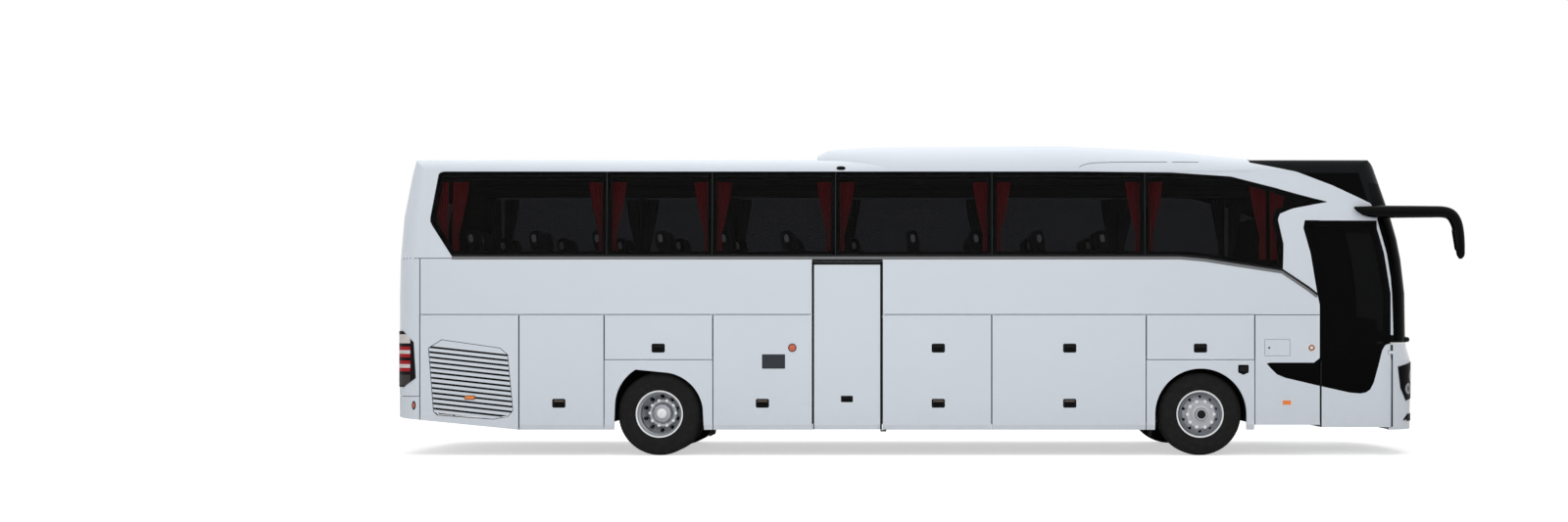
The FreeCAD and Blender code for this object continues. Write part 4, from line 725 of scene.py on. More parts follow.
# ---------------------------------------------------------------- geometry node trees
class Tree(Nodes):
    """A geometry node tree with named inputs."""

    def __init__(self, name, **inputs):
        super().__init__(bpy.data.node_groups.new(name, "GeometryNodeTree"))
        face = self.tree.interface
        face.new_socket(name="Geometry", in_out="INPUT", socket_type="NodeSocketGeometry")
        self.ids = {}
        for label, value in inputs.items():
            kind = {int: "NodeSocketInt", float: "NodeSocketFloat", tuple: "NodeSocketVector"}[type(value)]
            socket = face.new_socket(name=label.replace("_", " "), in_out="INPUT", socket_type=kind)
            socket.default_value = value
            self.ids[label] = socket.identifier
        face.new_socket(name="Geometry", in_out="OUTPUT", socket_type="NodeSocketGeometry")
        self.entry = self.tree.nodes.new("NodeGroupInput")

    def input(self, label):
        return self.entry.outputs[label.replace("_", " ")]

    def close(self, geometry, material):
        """Realizes the instances, sets the material and ends the tree."""
        geometry = self.node("GeometryNodeRealizeInstances", {"Geometry": geometry})
        geometry = self.node("GeometryNodeSetMaterial", {"Geometry": geometry, "Material": material})
        self.feed(self.tree.nodes.new("NodeGroupOutput").inputs[0], geometry)
        return self


def grow(name, tree, base=None, **values):
    """Runs a node tree on a base object, or on an empty mesh, and keeps the result as a plain mesh."""
    if base is None:
        base = mesh_object(name, bpy.data.meshes.new(name))
    modifier = base.modifiers.new("Nodes", "NODES")
    modifier.node_group = tree.tree
    for label, value in values.items():
        modifier[tree.ids[label]] = value
    mesh = plain_mesh(base)
    bpy.data.objects.remove(base)
    return mesh_object(name, mesh)


def ring_tree(name, material, sides):
    """Solids with this many sides in a ring about the Y axis, such as wheel nuts or tread blocks."""
    t = Tree(name, Count=10, Pitch_Radius=0.1675, Item_Radius=0.02, Item_Height=0.03, Centre=(0.0, 0.0, 0.0))
    quarter = (math.pi / 2, 0.0, 0.0)
    count = t.input("Count")
    circle = t.node("GeometryNodeMeshCircle", {"Vertices": count, "Radius": t.input("Pitch_Radius")})
    circle = t.node("GeometryNodeTransform", {"Geometry": circle, "Rotation": quarter})
    item = t.node("GeometryNodeMeshCylinder", {
        "Vertices": sides, "Radius": t.input("Item_Radius"), "Depth": t.input("Item_Height")})
    item = t.node("GeometryNodeTransform", {"Geometry": item, "Rotation": quarter})
    share = t.math("DIVIDE", t.node("GeometryNodeInputIndex"), count)
    turn = t.node("ShaderNodeCombineXYZ", {"Y": t.times(share, -RING)})
    ring = t.node("GeometryNodeInstanceOnPoints", {"Points": circle, "Instance": item, "Rotation": turn})
    ring = t.node("GeometryNodeTransform", {"Geometry": ring, "Translation": t.input("Centre")})
    return t.close(ring, material)


def strip_tree(name, material, upright=False):
    """A flat strip along the base curve. It stands on edge, or lies along the side on an upright curve."""
    t = Tree(name, Width=0.04, Thickness=0.006)
    curve = t.input("Geometry")
    size = [t.input("Width"), t.input("Thickness")]
    if not upright:
        curve = t.node("GeometryNodeSetCurveNormal", {"Curve": curve}, mode="Z_UP")
        size.reverse()
    profile = t.node("GeometryNodeCurvePrimitiveQuadrilateral", dict(enumerate(size)))
    ends = {"Curve": curve, "Profile Curve": profile, "Fill Caps": True}
    return t.close(t.node("GeometryNodeCurveToMesh", ends), material)


def row_tree(name, material, item):
    """Copies of one item in a straight row."""
    t = Tree(name, Count=10, Step=(0.8, 0.0, 0.0), Start=(0.0, 0.0, 0.0))
    places = {"Count": t.input("Count"), "Start Location": t.input("Start"), "Offset": t.input("Step")}
    line = t.node("GeometryNodeMeshLine", places, mode="OFFSET")
    one = t.node("GeometryNodeObjectInfo", {"Object": item}, output=4)
    return t.close(t.node("GeometryNodeInstanceOnPoints", {"Points": line, "Instance": one}), material)


def strip(name, tree, points, width, thickness, body="coachwork"):
    """A strip that follows a path of points."""
    data = bpy.data.curves.new(f"{name}_path", "CURVE")
    data.dimensions = "3D"
    spline = data.splines.new("POLY")
    spline.points.add(len(points) - 1)
    for point, place in zip(spline.points, points):
        point.co = (*place, 1.0)
    path = bpy.data.objects.new(f"{name}_path", data)
    bpy.context.scene.collection.objects.link(path)
    return finish_piece(grow(name, tree, path, Width=width, Thickness=thickness), body)


# ---------------------------------------------------------------- properties
class CoachColours(bpy.types.PropertyGroup):
    body: bpy.props.FloatVectorProperty(
        name="Body", description="Colour of the coachwork", subtype="COLOR", size=4, default=WHITE)
    curtain: bpy.props.FloatVectorProperty(
        name="Curtains", description="Colour of the curtain cloth", subtype="COLOR", size=4,
        default=(0.58, 0.001, 0.010, 1.0))
    seat: bpy.props.FloatVectorProperty(
        name="Seats", description="Colour of the seat cloth", subtype="COLOR", size=4,
        default=(0.014, 0.014, 0.018, 1.0))


class CoachWheels(bpy.types.PropertyGroup):
    nuts: bpy.props.IntProperty(
        name="Nuts", description="Wheel nuts on each wheel", default=10, min=6, max=12)
    pitch_radius: bpy.props.FloatProperty(
        name="Pitch radius", description="Radius of the nuts' circle", unit="LENGTH", default=0.1675)
    nut_radius: bpy.props.FloatProperty(
        name="Nut radius", description="Radius over a nut's corners", unit="LENGTH", default=0.0185)
    blocks: bpy.props.IntProperty(
        name="Shoulder blocks", description="Tread blocks round a shoulder", default=84)


class CoachCurtains(bpy.types.PropertyGroup):
    folds: bpy.props.FloatProperty(name="Folds", description="Folds across one curtain", default=5.5)
    fold_depth: bpy.props.FloatProperty(
        name="Fold depth", description="Depth of the folds from front to back", unit="LENGTH", default=0.020)
    tie_z: bpy.props.FloatProperty(
        name="Tie height", description="Height of the tie above the ground", unit="LENGTH", default=2.77)


class CoachStage(bpy.types.PropertyGroup):
    key: bpy.props.FloatProperty(name="Top light", description="Power of the lamp overhead", default=900.0)
    side: bpy.props.FloatProperty(
        name="Side light", description="Power of the lamp beside the camera", default=300.0)
    world: bpy.props.FloatProperty(
        name="Sky", description="Level of the even light from all round", default=0.46)


class CoachSettings(bpy.types.PropertyGroup):
    colours: bpy.props.PointerProperty(type=CoachColours)
    wheels: bpy.props.PointerProperty(type=CoachWheels)
    curtains: bpy.props.PointerProperty(type=CoachCurtains)
    stage: bpy.props.PointerProperty(type=CoachStage)


# ---------------------------------------------------------------- operators
class CoachOperator:
    """What the coach's operators share."""
    bl_options = {"REGISTER"}

    def execute(self, context):
        self.make(context.scene.coach)
        return {"FINISHED"}


class COACH_OT_finishes(CoachOperator, bpy.types.Operator):
    """Makes the finishes and gives each node of the frame its own"""
    bl_idname = "coach.finishes"
    bl_label = "Paint and finishes"

    def make(self, coach):
        make_finishes(coach.colours)
        for name, obj in frame["nodes"].items():
            if name not in REPLACED:
                usual = "flap" if "_flap" in name or name == "middle_door" else "plain"
                obj.data.materials.clear()
                obj.data.materials.append(FINISH[NODE_FINISH.get(name, usual)])


# Half of a tyre's cross section, from the middle of the tread round to the bead: (radius, distance outboard)
TYRE_HALF = (
    (0.5220, 0.0), (0.5220, 0.0290), (0.5100, 0.0315), (0.5100, 0.0385), (0.5218, 0.0410), (0.5215, 0.0790),
    (0.5095, 0.0815), (0.5095, 0.0885), (0.5195, 0.0910), (0.5165, 0.1080), (0.5090, 0.1190),
    (0.4970, 0.1295), (0.4840, 0.1370), (0.4800, 0.1362), (0.4760, 0.1388), (0.4450, 0.1450),
    (0.4160, 0.1470), (0.4120, 0.1456), (0.4080, 0.1472), (0.3760, 0.1455), (0.3470, 0.1415),
    (0.3440, 0.1392), (0.3390, 0.1405), (0.3200, 0.1355), (0.3040, 0.1275), (0.2900, 0.1175),
)
# Shoulder blocks: distance from the tyre's middle, radius of their circle, radius and length of a block
BLOCK_Y, BLOCK_CIRCLE, BLOCK_R, BLOCK_LONG = 0.112, 0.5075, 0.0125, 0.016


class COACH_OT_tyres(CoachOperator, bpy.types.Operator):
    """Makes the tyres with their ribs, grooves and shoulder blocks"""
    bl_idname = "coach.tyres"
    bl_label = "Tyres"

    def make(self, coach):
        blocks = ring_tree("tread_blocks", FINISH["rubber"], 4)
        profile = list(TYRE_HALF) + [(r, -w) for r, w in reversed(TYRE_HALF[1:])]
        for side, word in SIDES:
            front = (FRONT_AXLE_X, f"front_tyre_{word}", f"front_wheel_{word}")
            rear = (REAR_AXLE_X, f"rear_tyres_{word}", f"rear_wheels_{word}")
            for name, y, (x, node, body) in (
                (f"tyre_front_{word}_outer", WHEEL_Y, front), (f"tyre_rear_{word}_outer", WHEEL_Y, rear),
                (f"tyre_rear_{word}_inner", INNER_WHEEL_Y, rear),
            ):
                centre = (x, side * y, TYRE_R)
                piece(name, "rubber", add_lathe, profile, centre, side, 144, body=body, slot="tyre",
                      replaces=(node,))
                for end, w in (("in", -BLOCK_Y), ("out", BLOCK_Y)):
                    ring = grow(
                        f"{name}_blocks_{end}", blocks, Count=coach.wheels.blocks, Pitch_Radius=BLOCK_CIRCLE,
                        Item_Radius=BLOCK_R, Item_Height=BLOCK_LONG, Centre=(x, side * (y + w), TYRE_R))
                    finish_piece(ring, body)


# Turned pieces of the wheels: (radius, distance outboard of the wheel's middle)
FRONT_CAP = ((0.0, 0.2180), (0.052, 0.2180), (0.066, 0.2130), (0.078, 0.2020), (0.082, 0.1960), (0.0, 0.1960))
BRAKE_DRUM = ((0.244, 0.020), (0.244, 0.027), (0.117, 0.027), (0.117, 0.020))
REAR_CAP_EDGE = ((0.0700, 0.1180), (0.0700, 0.1215), (0.0755, 0.1215), (0.0755, 0.1180))
REAR_CAP = ((0.0, 0.1300), (0.056, 0.1300), (0.066, 0.1265), (0.070, 0.1200), (0.0, 0.1200))
BRIGHT_FLANGE = (
    (0.2990, 0.1290), (0.2975, 0.1345), (0.2890, 0.1360), (0.2790, 0.1320), (0.2745, 0.1180), (0.2800, 0.1170))
# Outer faces of the wheels' discs, outboard of the outer wheel's middle
FRONT_DISC, REAR_DISC = 0.1672, -0.1532


class COACH_OT_wheels(CoachOperator, bpy.types.Operator):
    """Makes the wheels' nuts, bright rims and hub caps"""
    bl_idname = "coach.wheels"
    bl_label = "Wheel nuts and caps"

    def make(self, coach):
        nuts = ring_tree("wheel_nuts", FINISH["nut"], 6)
        studs = ring_tree("wheel_studs", FINISH["nut"], 12)
        size = coach.wheels
        rings = (
            (nuts, "nuts", size.nut_radius, 0.026), (nuts, "collars", size.nut_radius * 1.25, 0.008),
            (studs, "studs", 0.010, 0.040),
        )
        for side, word in SIDES:
            front, rear = f"front_wheel_{word}", f"rear_wheels_{word}"
            for axle, x, body, face in (
                ("front", FRONT_AXLE_X, front, FRONT_DISC), ("rear", REAR_AXLE_X, rear, REAR_DISC),
            ):
                for tree, label, radius, height in rings:
                    ring = grow(
                        f"wheel_{label}_{axle}_{word}", tree, Count=size.nuts, Pitch_Radius=size.pitch_radius,
                        Item_Radius=radius, Item_Height=height,
                        Centre=(x, side * (WHEEL_Y + face + height / 2), TYRE_R))
                    finish_piece(ring, body)
                centre = (x, side * WHEEL_Y, TYRE_R)
                name = f"rim_flange_{axle}_{word}"
                piece(name, "bright", add_lathe, BRIGHT_FLANGE, centre, side, body=body, slot="rim")
            twin_y = (WHEEL_Y + INNER_WHEEL_Y) / 2
            for name, finish, profile, x, y, body, slot in (
                ("brake_drum_front", "chassis", BRAKE_DRUM, FRONT_AXLE_X, WHEEL_Y, front, "chassis_black"),
                ("hub_cap_front", "trim", FRONT_CAP, FRONT_AXLE_X, WHEEL_Y, front, "rim"),
                ("hub_cap_rear", "nut", REAR_CAP, REAR_AXLE_X, twin_y, rear, "rim"),
                ("hub_cap_edge", "trim", REAR_CAP_EDGE, REAR_AXLE_X, twin_y, rear, "rim"),
            ):
                centre = (x, side * y, TYRE_R)
                piece(f"{name}_{word}", finish, add_lathe, profile, centre, side, 64, body=body, slot=slot)


# Middle line of a mirror's arm and head: (station, height, radius)
MIRROR_ARM = (
    (5.575, 3.118, 0.012), (5.640, 3.094, 0.040), (5.740, 3.070, 0.066), (5.900, 3.064, 0.078),
    (6.200, 3.064, 0.077), (6.500, 3.064, 0.074), (6.690, 3.060, 0.072), (6.790, 3.022, 0.071),
    (6.850, 2.930, 0.070), (6.880, 2.810, 0.066), (6.896, 2.690, 0.060), (6.904, 2.590, 0.054),
    (6.908, 2.520, 0.046), (6.902, 2.475, 0.018),
)
# How far the arm's middle line lies outside the wall
MIRROR_OUT = 0.0515


class COACH_OT_mirrors(CoachOperator, bpy.types.Operator):
    """Makes the mirrors on their long curved arms"""
    bl_idname = "coach.mirrors"
    bl_label = "Mirrors"

    def make(self, coach):
        for side, word in SIDES:
            y = side * (side_y(3.1) + MIRROR_OUT)

            def facing(a, b, depth):
                return (at(6.816 + (2.84 - b) * 0.160) - depth, y + a, b)

            line = smooth_path([(at(x), y, z) for x, z, r in MIRROR_ARM], 6)
            sizes = [s.x for s in smooth_path([(r, 0, 0) for x, z, r in MIRROR_ARM], 6)]
            piece(f"mirror_arm_{word}", "black", add_tube, line, sizes, 20, 1.12, replaces=("mirrors",))
            for name, finish, outline, low, high in (
                ("housing", "black", rounded(-0.048, 0.048, 2.580, 2.850, 0.034), -0.020, 0.006),
                ("glass", "mirror", rounded(-0.042, 0.042, 2.588, 2.842, 0.030), 0.006, 0.0075),
            ):
                piece(f"mirror_{name}_{word}", finish, add_prism, outline, low, high, facing)


CURTAIN_STATIONS = sorted(DIVIDERS + (-5.790, 4.520))
CURTAIN_W = 0.212
CURTAIN_OFF = 0.024
CURTAIN_NARROW = 0.085
CURTAIN_TOP_Z = 3.450
CURTAIN_LOW_Z = 2.468
# Depth of the cloth's middle inside the wall, and its thickness
CLOTH_DEPTH = 0.0725
CLOTH_T = 0.0015
CLOTH_ROWS, CLOTH_CUTS = 30, 66


def curtain_width(z, tie_z):
    """Width of a curtain at a height: wide at the rail, drawn in at the tie and a little wider below."""
    if z > tie_z:
        share = (CURTAIN_TOP_Z - z) / (CURTAIN_TOP_Z - tie_z)
        return CURTAIN_W - (CURTAIN_W - CURTAIN_NARROW) * share ** 1.3
    return CURTAIN_NARROW + 0.016 * (tie_z - z) / (tie_z - CURTAIN_LOW_Z)


def add_cloth(bm, side, station, way, shift, size):
    """The folded cloth of one curtain, still without thickness."""
    rows = []
    for i in range(CLOTH_ROWS + 1):
        z = CURTAIN_LOW_Z + (CURTAIN_TOP_Z - CURTAIN_LOW_Z) * i / CLOTH_ROWS
        x0 = station + way * CURTAIN_OFF
        x1 = x0 + way * curtain_width(z, size.tie_z)
        row = []
        for k in range(CLOTH_CUTS + 1):
            u = k / CLOTH_CUTS
            wave = math.sin(RING * size.folds * u + shift + 0.5 * math.sin(3 * z + shift))
            wave += 0.25 * math.sin(RING * 2.3 * u + 2 * shift + 4 * z)
            depth = CLOTH_DEPTH + 0.38 * size.fold_depth * wave
            row.append(bm.verts.new((at(x0 + (x1 - x0) * u), side * (side_y(z) - depth), z)))
        rows.append(row)
    for a, b in zip(rows, rows[1:]):
        bridge(bm, a, b, closed=False)


class COACH_OT_curtains(CoachOperator, bpy.types.Operator):
    """Makes the gathered curtains at the window dividers"""
    bl_idname = "coach.curtains"
    bl_label = "Curtains"

    def make(self, coach):
        for side, word in SIDES:
            for n, station in enumerate(CURTAIN_STATIONS):
                for hand, way, shift in (("a", -1, 1.7 * n), ("b", 1, 1.7 * n + 0.9)):
                    bm = bmesh.new()
                    add_cloth(bm, side, station, way, shift, coach.curtains)
                    area = sum(face.calc_area() for face in bm.faces)
                    bmesh.ops.recalc_face_normals(bm, faces=bm.faces)
                    bmesh.ops.solidify(bm, geom=bm.faces, thickness=CLOTH_T)
                    cloth = from_bmesh(f"curtain_{word}_{n + 1}{hand}", bm, [FINISH["curtain"]])
                    finish_piece(cloth, "coachwork", ("curtains",))


def add_pillow(bm, centre, size, tilt=0.0, power=5.0, cuts=7):
    """A crowned, rounded block, tilted about the Y axis."""
    lattice = {}
    turn = Matrix.Rotation(tilt, 3, "Y")
    steps = [-1 + 2 * i / cuts for i in range(cuts + 1)]
    for i, u in enumerate(steps):
        for j, v in enumerate(steps):
            for k, w in enumerate(steps):
                if {0, cuts} & {i, j, k}:
                    norm = (abs(u) ** power + abs(v) ** power + abs(w) ** power) ** (1 / power)
                    point = Vector((u * size[0] / 2, v * size[1] / 2, w * size[2] / 2)) / norm
                    lattice[i, j, k] = bm.verts.new(Vector(centre) + turn @ point)
    for a in range(cuts):
        for b in range(cuts):
            for end in (0, cuts):
                for order in ((0, 1, 2), (1, 2, 0), (2, 0, 1)):
                    corners = []
                    for da, db in ((0, 0), (1, 0), (1, 1), (0, 1)):
                        key = [0, 0, 0]
                        key[order[0]], key[order[1]], key[order[2]] = end, a + da, b + db
                        corners.append(lattice[tuple(key)])
                    bm.faces.new(corners)


SEAT_PITCH = 0.8
FIRST_SEAT = -5.560
SEAT_Y = 0.725
# Rows on each side: first row and number of rows; the stairs break the right-hand side
SEAT_RUNS = ((RIGHT, "right_rear", 0, 6), (RIGHT, "right_front", 7, 4), (LEFT, "left", 0, 11))
# Blocks of a pair of seats, of its headrests' covers and of the driver's seat:
# places across, (forward, up), size, tilt, squareness and cuts
HALVES = (-0.225, 0.225)
SEAT_BLOCKS = (
    (HALVES, (0.330, 0.380), (0.370, 0.430, 0.120), -0.06, 5.0, 7),
    (HALVES, (0.085, 0.680), (0.110, 0.430, 0.600), -0.20, 5.0, 7),
    (HALVES, (0.004, 1.048), (0.165, 0.330, 0.265), -0.16, 3.0, 7),
    (HALVES, (0.270, 0.160), (0.200, 0.080, 0.310), 0.0, 9.0, 7),
    ((-0.445, 0.445), (0.300, 0.560), (0.320, 0.030, 0.050), 0.0, 6.0, 4),
)
COVER_BLOCKS = ((HALVES, (0.004, 1.060), (0.100, 0.350, 0.165), -0.16, 3.0, 7),)
DRIVER_PLACE = (5.170, 0.62)
DRIVER_BLOCKS = (
    ((0.0,), (0.345, 0.410), (0.380, 0.480, 0.110), -0.05, 5.0, 7),
    ((0.0,), (0.060, 0.740), (0.110, 0.460, 0.560), -0.18, 5.0, 7),
    ((0.0,), (-0.020, 1.080), (0.095, 0.300, 0.180), -0.14, 5.0, 7),
    ((0.0,), (0.280, 0.170), (0.280, 0.280, 0.330), 0.0, 9.0, 7),
)


def add_blocks(bm, blocks, place=(0.0, 0.0, 0.0)):
    for ways, (forward, up), size, tilt, power, cuts in blocks:
        for way in ways:
            add_pillow(bm, (place[0] + forward, place[1] + way, place[2] + up), size, tilt, power, cuts)


class COACH_OT_seats(CoachOperator, bpy.types.Operator):
    """Makes the rows of passenger seats and the driver's seat"""
    bl_idname = "coach.seats"
    bl_label = "Seats"

    def make(self, coach):
        for kind, finish, blocks in (("seats", "seat", SEAT_BLOCKS), ("covers", "headrest", COVER_BLOCKS)):
            bm = bmesh.new()
            add_blocks(bm, blocks)
            item = from_bmesh("one_pair", bm, [FINISH[finish]])
            tree = row_tree(f"row_of_{kind}", FINISH[finish], item)
            for side, word, first, count in SEAT_RUNS:
                row = grow(
                    f"{kind}_{word}", tree, Count=count, Step=(SEAT_PITCH, 0.0, 0.0),
                    Start=(at(FIRST_SEAT + SEAT_PITCH * first), side * SEAT_Y, FLOOR_TOP_Z))
                row.data.shade_smooth()
                finish_piece(row, "coachwork", ("passenger_seats",))
            bpy.data.objects.remove(item)
        place = (at(DRIVER_PLACE[0]), DRIVER_PLACE[1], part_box("driver_seat")[0].z)
        seat = piece("driver_seat_cushions", "seat", add_blocks, DRIVER_BLOCKS, place, slot="seat_cloth",
                     replaces=("driver_seat",))


# ---------------------------------------------------------------- fittings
def side_panel(name, side, outline, low, high, finish, body="coachwork", slot="gloss_black", edge=0.0):
    """A plate on the side wall between two depths; a negative depth stands proud."""
    obj = piece(name, finish, add_prism, outline, low, high, on_side(side), body=body, slot=slot)
    return bevelled(obj, edge) if edge else obj


def add_frame(bm, side, outer, inner, low, high):
    """A frame between two outlines with as many points each."""
    place = on_side(side)
    rings = [[bm.verts.new(place(a, b, depth)) for a, b in outline] for outline, depth in (
        (outer, high), (outer, low), (inner, low), (inner, high))]
    for k in range(4):
        bridge(bm, rings[k], rings[(k + 1) % 4])


class Surface:
    """The outside of some nodes, felt along X or Y."""

    def __init__(self, *nodes):
        bm = bmesh.new()
        for node in nodes:
            bm.from_mesh(frame["nodes"][node].data)
        self.tree = BVHTree.FromBMesh(bm)
        bm.free()

    def x(self, y, z, way):
        """Place of the skin at a point seen from the front (way +1) or from behind (way -1)."""
        hit = self.tree.ray_cast(Vector((way * 9.0, y, z)), Vector((-way, 0, 0)))[0]
        if hit is None:
            raise RuntimeError(f"no skin at y {y} z {z}")
        return hit.x

    def y(self, x, z, side):
        """Place of the skin at a point seen from one side; a joint in the skin is stepped over."""
        for step in (0.0, 0.006, -0.006, 0.012, -0.012, 0.024):
            hit = self.tree.ray_cast(Vector((x, side * 4.0, z + step)), Vector((0, -side, 0)))[0]
            if hit is not None:
                return hit.y
        raise RuntimeError(f"no skin at x {x} z {z}")


def add_side_patch(bm, skin, side, bars, thick):
    """A plate on the skin of a side: bars holds (station, low, high) along it."""
    loops = []
    for station, low, high in bars:
        column = []
        for z in (low, (low + high) / 2, high):
            y = skin.y(at(station), z, side)
            column.append([bm.verts.new((at(station), y + side * depth, z)) for depth in (-0.001, thick)])
        (a, b), (c, d), (e, f) = column
        loops.append([a, b, d, f, e, c])
    add_loft(bm, loops)


def add_end_patch(bm, skin, way, outline, thick, cuts=12, lift=-0.001):
    """A plate that follows the skin across the coach: outline is (y0, y1, z0, z1)."""
    y0, y1, z0, z1 = outline
    loops = []
    for k in range(cuts + 1):
        y = y0 + (y1 - y0) * k / cuts
        column = []
        for z in (z0, z1):
            x = skin.x(y, z, way) + way * lift
            column.append([bm.verts.new((x + way * depth, y, z)) for depth in (0.0, thick)])
        (a, b), (c, d) = column
        loops.append([a, c, d, b])
    add_loft(bm, loops)


# Seams of each side: name, whether it stands upright, ends as (station, height) and width
SIDE_SEAMS = (
    ("waist", False, ((4.340, 1.772), (5.150, 1.772)), 0.008),
    ("sill_rear", False, ((-6.145, 1.7785), (-1.230, 1.7785)), 0.0045),
    ("sill_front", False, ((-0.329, 1.7785), (4.340, 1.7785)), 0.0045),
    ("belt", False, ((-6.145, 2.482), (-5.740, 2.482)), 0.008),
    ("corner", True, ((-6.146, 1.775), (-6.146, 2.482)), 0.010),
)
# White corner of the front door above its black part: (station, low, high)
DOOR_CORNER = (
    (5.915, 1.236, 1.242), (5.935, 1.236, 1.320), (5.952, 1.236, 1.352), (5.970, 1.236, 1.382),
    (5.995, 1.236, 1.398), (6.015, 1.236, 1.405),
)
REAR_CORNER = (-6.385, -6.360, -6.320, -6.270, -6.210, -6.150)
# How far the middle of a strip stands outside the wall, and thickness of a thin patch
PROUD = 0.001
THIN = 0.0008


class COACH_OT_mouldings(CoachOperator, bpy.types.Operator):
    """Makes the mouldings below the side windows and the rubber edges of the doors"""
    bl_idname = "coach.mouldings"
    bl_label = "Mouldings and seals"

    def make(self, coach):
        belt = strip_tree("moulding", FINISH["strip"])
        seal = strip_tree("rubber_edge", FINISH["trim"])
        upright = strip_tree("upright_edge", FINISH["trim"], upright=True)
        divider = strip_tree("divider_strip", FINISH["divider"], upright=True)
        for side, word in SIDES:
            rows = (("moulding", belt, -0.010, 0.036), ("rubber", seal, 0.020, 0.026))
            for name, tree, lift, width in rows:
                points = [(at(x), side * (side_y(z) + PROUD), z + lift) for x, z in BELT_PATH]
                strip(f"belt_{name}_{word}", tree, points, width, 0.006)
            for name, standing, line, width in SIDE_SEAMS:
                points = [(at(x), side * (side_y(z) + PROUD / 2), z) for x, z in line]
                strip(f"{name}_seam_{word}", upright if standing else seal, points, width, 0.001)
            for i, x in enumerate(DIVIDERS):
                ends = (GLASS_LOW_Z + 0.012, GLASS_TOP_Z - 0.012)
                line = [(at(x), side * (side_y(z) + PROUD), z) for z in ends]
                strip(f"window_divider_{word}_{i + 1}", divider, line, 0.007, 0.003)
        low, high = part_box("middle_door")
        y = RIGHT * (HALF_WIDTH - PROUD)
        for name, x, width in (("rear", low.x + 0.009, 0.016), ("front", high.x - 0.012, 0.022)):
            points = [(x, y, low.z + 0.004), (x, y, high.z - 0.004)]
            strip(f"door_edge_{name}", upright, points, width, 0.004, "middle_door")
        front_low, front_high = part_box("front_door")
        points = [(at(5.167), y, front_low.z + 0.004), (at(5.167), y, 1.190)]
        strip("front_door_edge_rear", upright, points, 0.016, 0.004, "front_door")
        line_x = front_high.x + 0.019
        line_y = Surface("front_mask").y(line_x, 0.900, RIGHT) - RIGHT * PROUD
        points = [(line_x, line_y, front_low.z + 0.004), (line_x, line_y, 1.395)]
        strip("front_door_line", upright, points, 0.020, 0.006)
        header = rounded(-1.222, -0.337, 2.4425, 2.4680, 0.003)
        side_panel("door_header", RIGHT, header, -0.0012, 0.0020, "trim")
        door_skin = Surface("front_door", "front_door_glass")
        piece("front_door_corner", "plain", add_side_patch, door_skin, RIGHT, DOOR_CORNER, THIN,
              body="front_door", slot="body_white")
        rear_skin = Surface("rear_wall")
        for side, word in SIDES:
            bars = [(x, 2.478, 2.486) for x in REAR_CORNER]
            piece(f"belt_corner_seam_{word}", "trim", add_side_patch, rear_skin, side, bars, THIN)
        points = [(x, y, high.z - 0.020) for x in (low.x + 0.004, high.x - 0.004)]
        strip("door_edge_top", seal, points, 0.038, 0.004, "middle_door")


# Outline of the engine flap's grille and its middle
GRILLE = (
    (-6.043, 1.358), (-5.873, 1.463), (-5.139, 1.358), (-5.041, 1.273), (-4.975, 0.567), (-5.041, 0.490),
    (-5.228, 0.456), (-5.929, 0.508), (-5.980, 0.552),
)
GRILLE_X, GRILLE_Z = -5.510, 0.950
# Flap, station and height of each handle; on the right-hand side the middle door takes the place of one
HANDLE_LOW_Z, HANDLE_HIGH_Z = 0.661, 1.354
HANDLES = (
    ("service_flap", -4.402, HANDLE_LOW_Z), ("rear_wheel_flap", -3.154, HANDLE_HIGH_Z),
    ("rear_luggage_flap", -1.846, HANDLE_LOW_Z), ("rear_luggage_flap", -0.960, HANDLE_LOW_Z),
    ("mid_luggage_flap", 0.362, HANDLE_LOW_Z), ("mid_luggage_flap", 0.362, HANDLE_HIGH_Z),
    ("front_luggage_flap", 2.012, HANDLE_LOW_Z), ("front_luggage_flap", 2.012, HANDLE_HIGH_Z),
    ("front_wheel_flap", 3.653, HANDLE_HIGH_Z),
)
DOOR_RELEASE = (
    (4.127, 1.136), (4.135, 1.144), (4.251, 1.144), (4.259, 1.136), (4.259, 1.052), (4.247, 1.040),
    (4.225, 1.036), (4.208, 1.022), (4.178, 1.022), (4.161, 1.036), (4.139, 1.040), (4.127, 1.052),
)


def grille_outline(share):
    """The grille's outline, drawn in towards its middle."""
    return [(GRILLE_X + share * (x - GRILLE_X), GRILLE_Z + share * (z - GRILLE_Z)) for x, z in GRILLE]


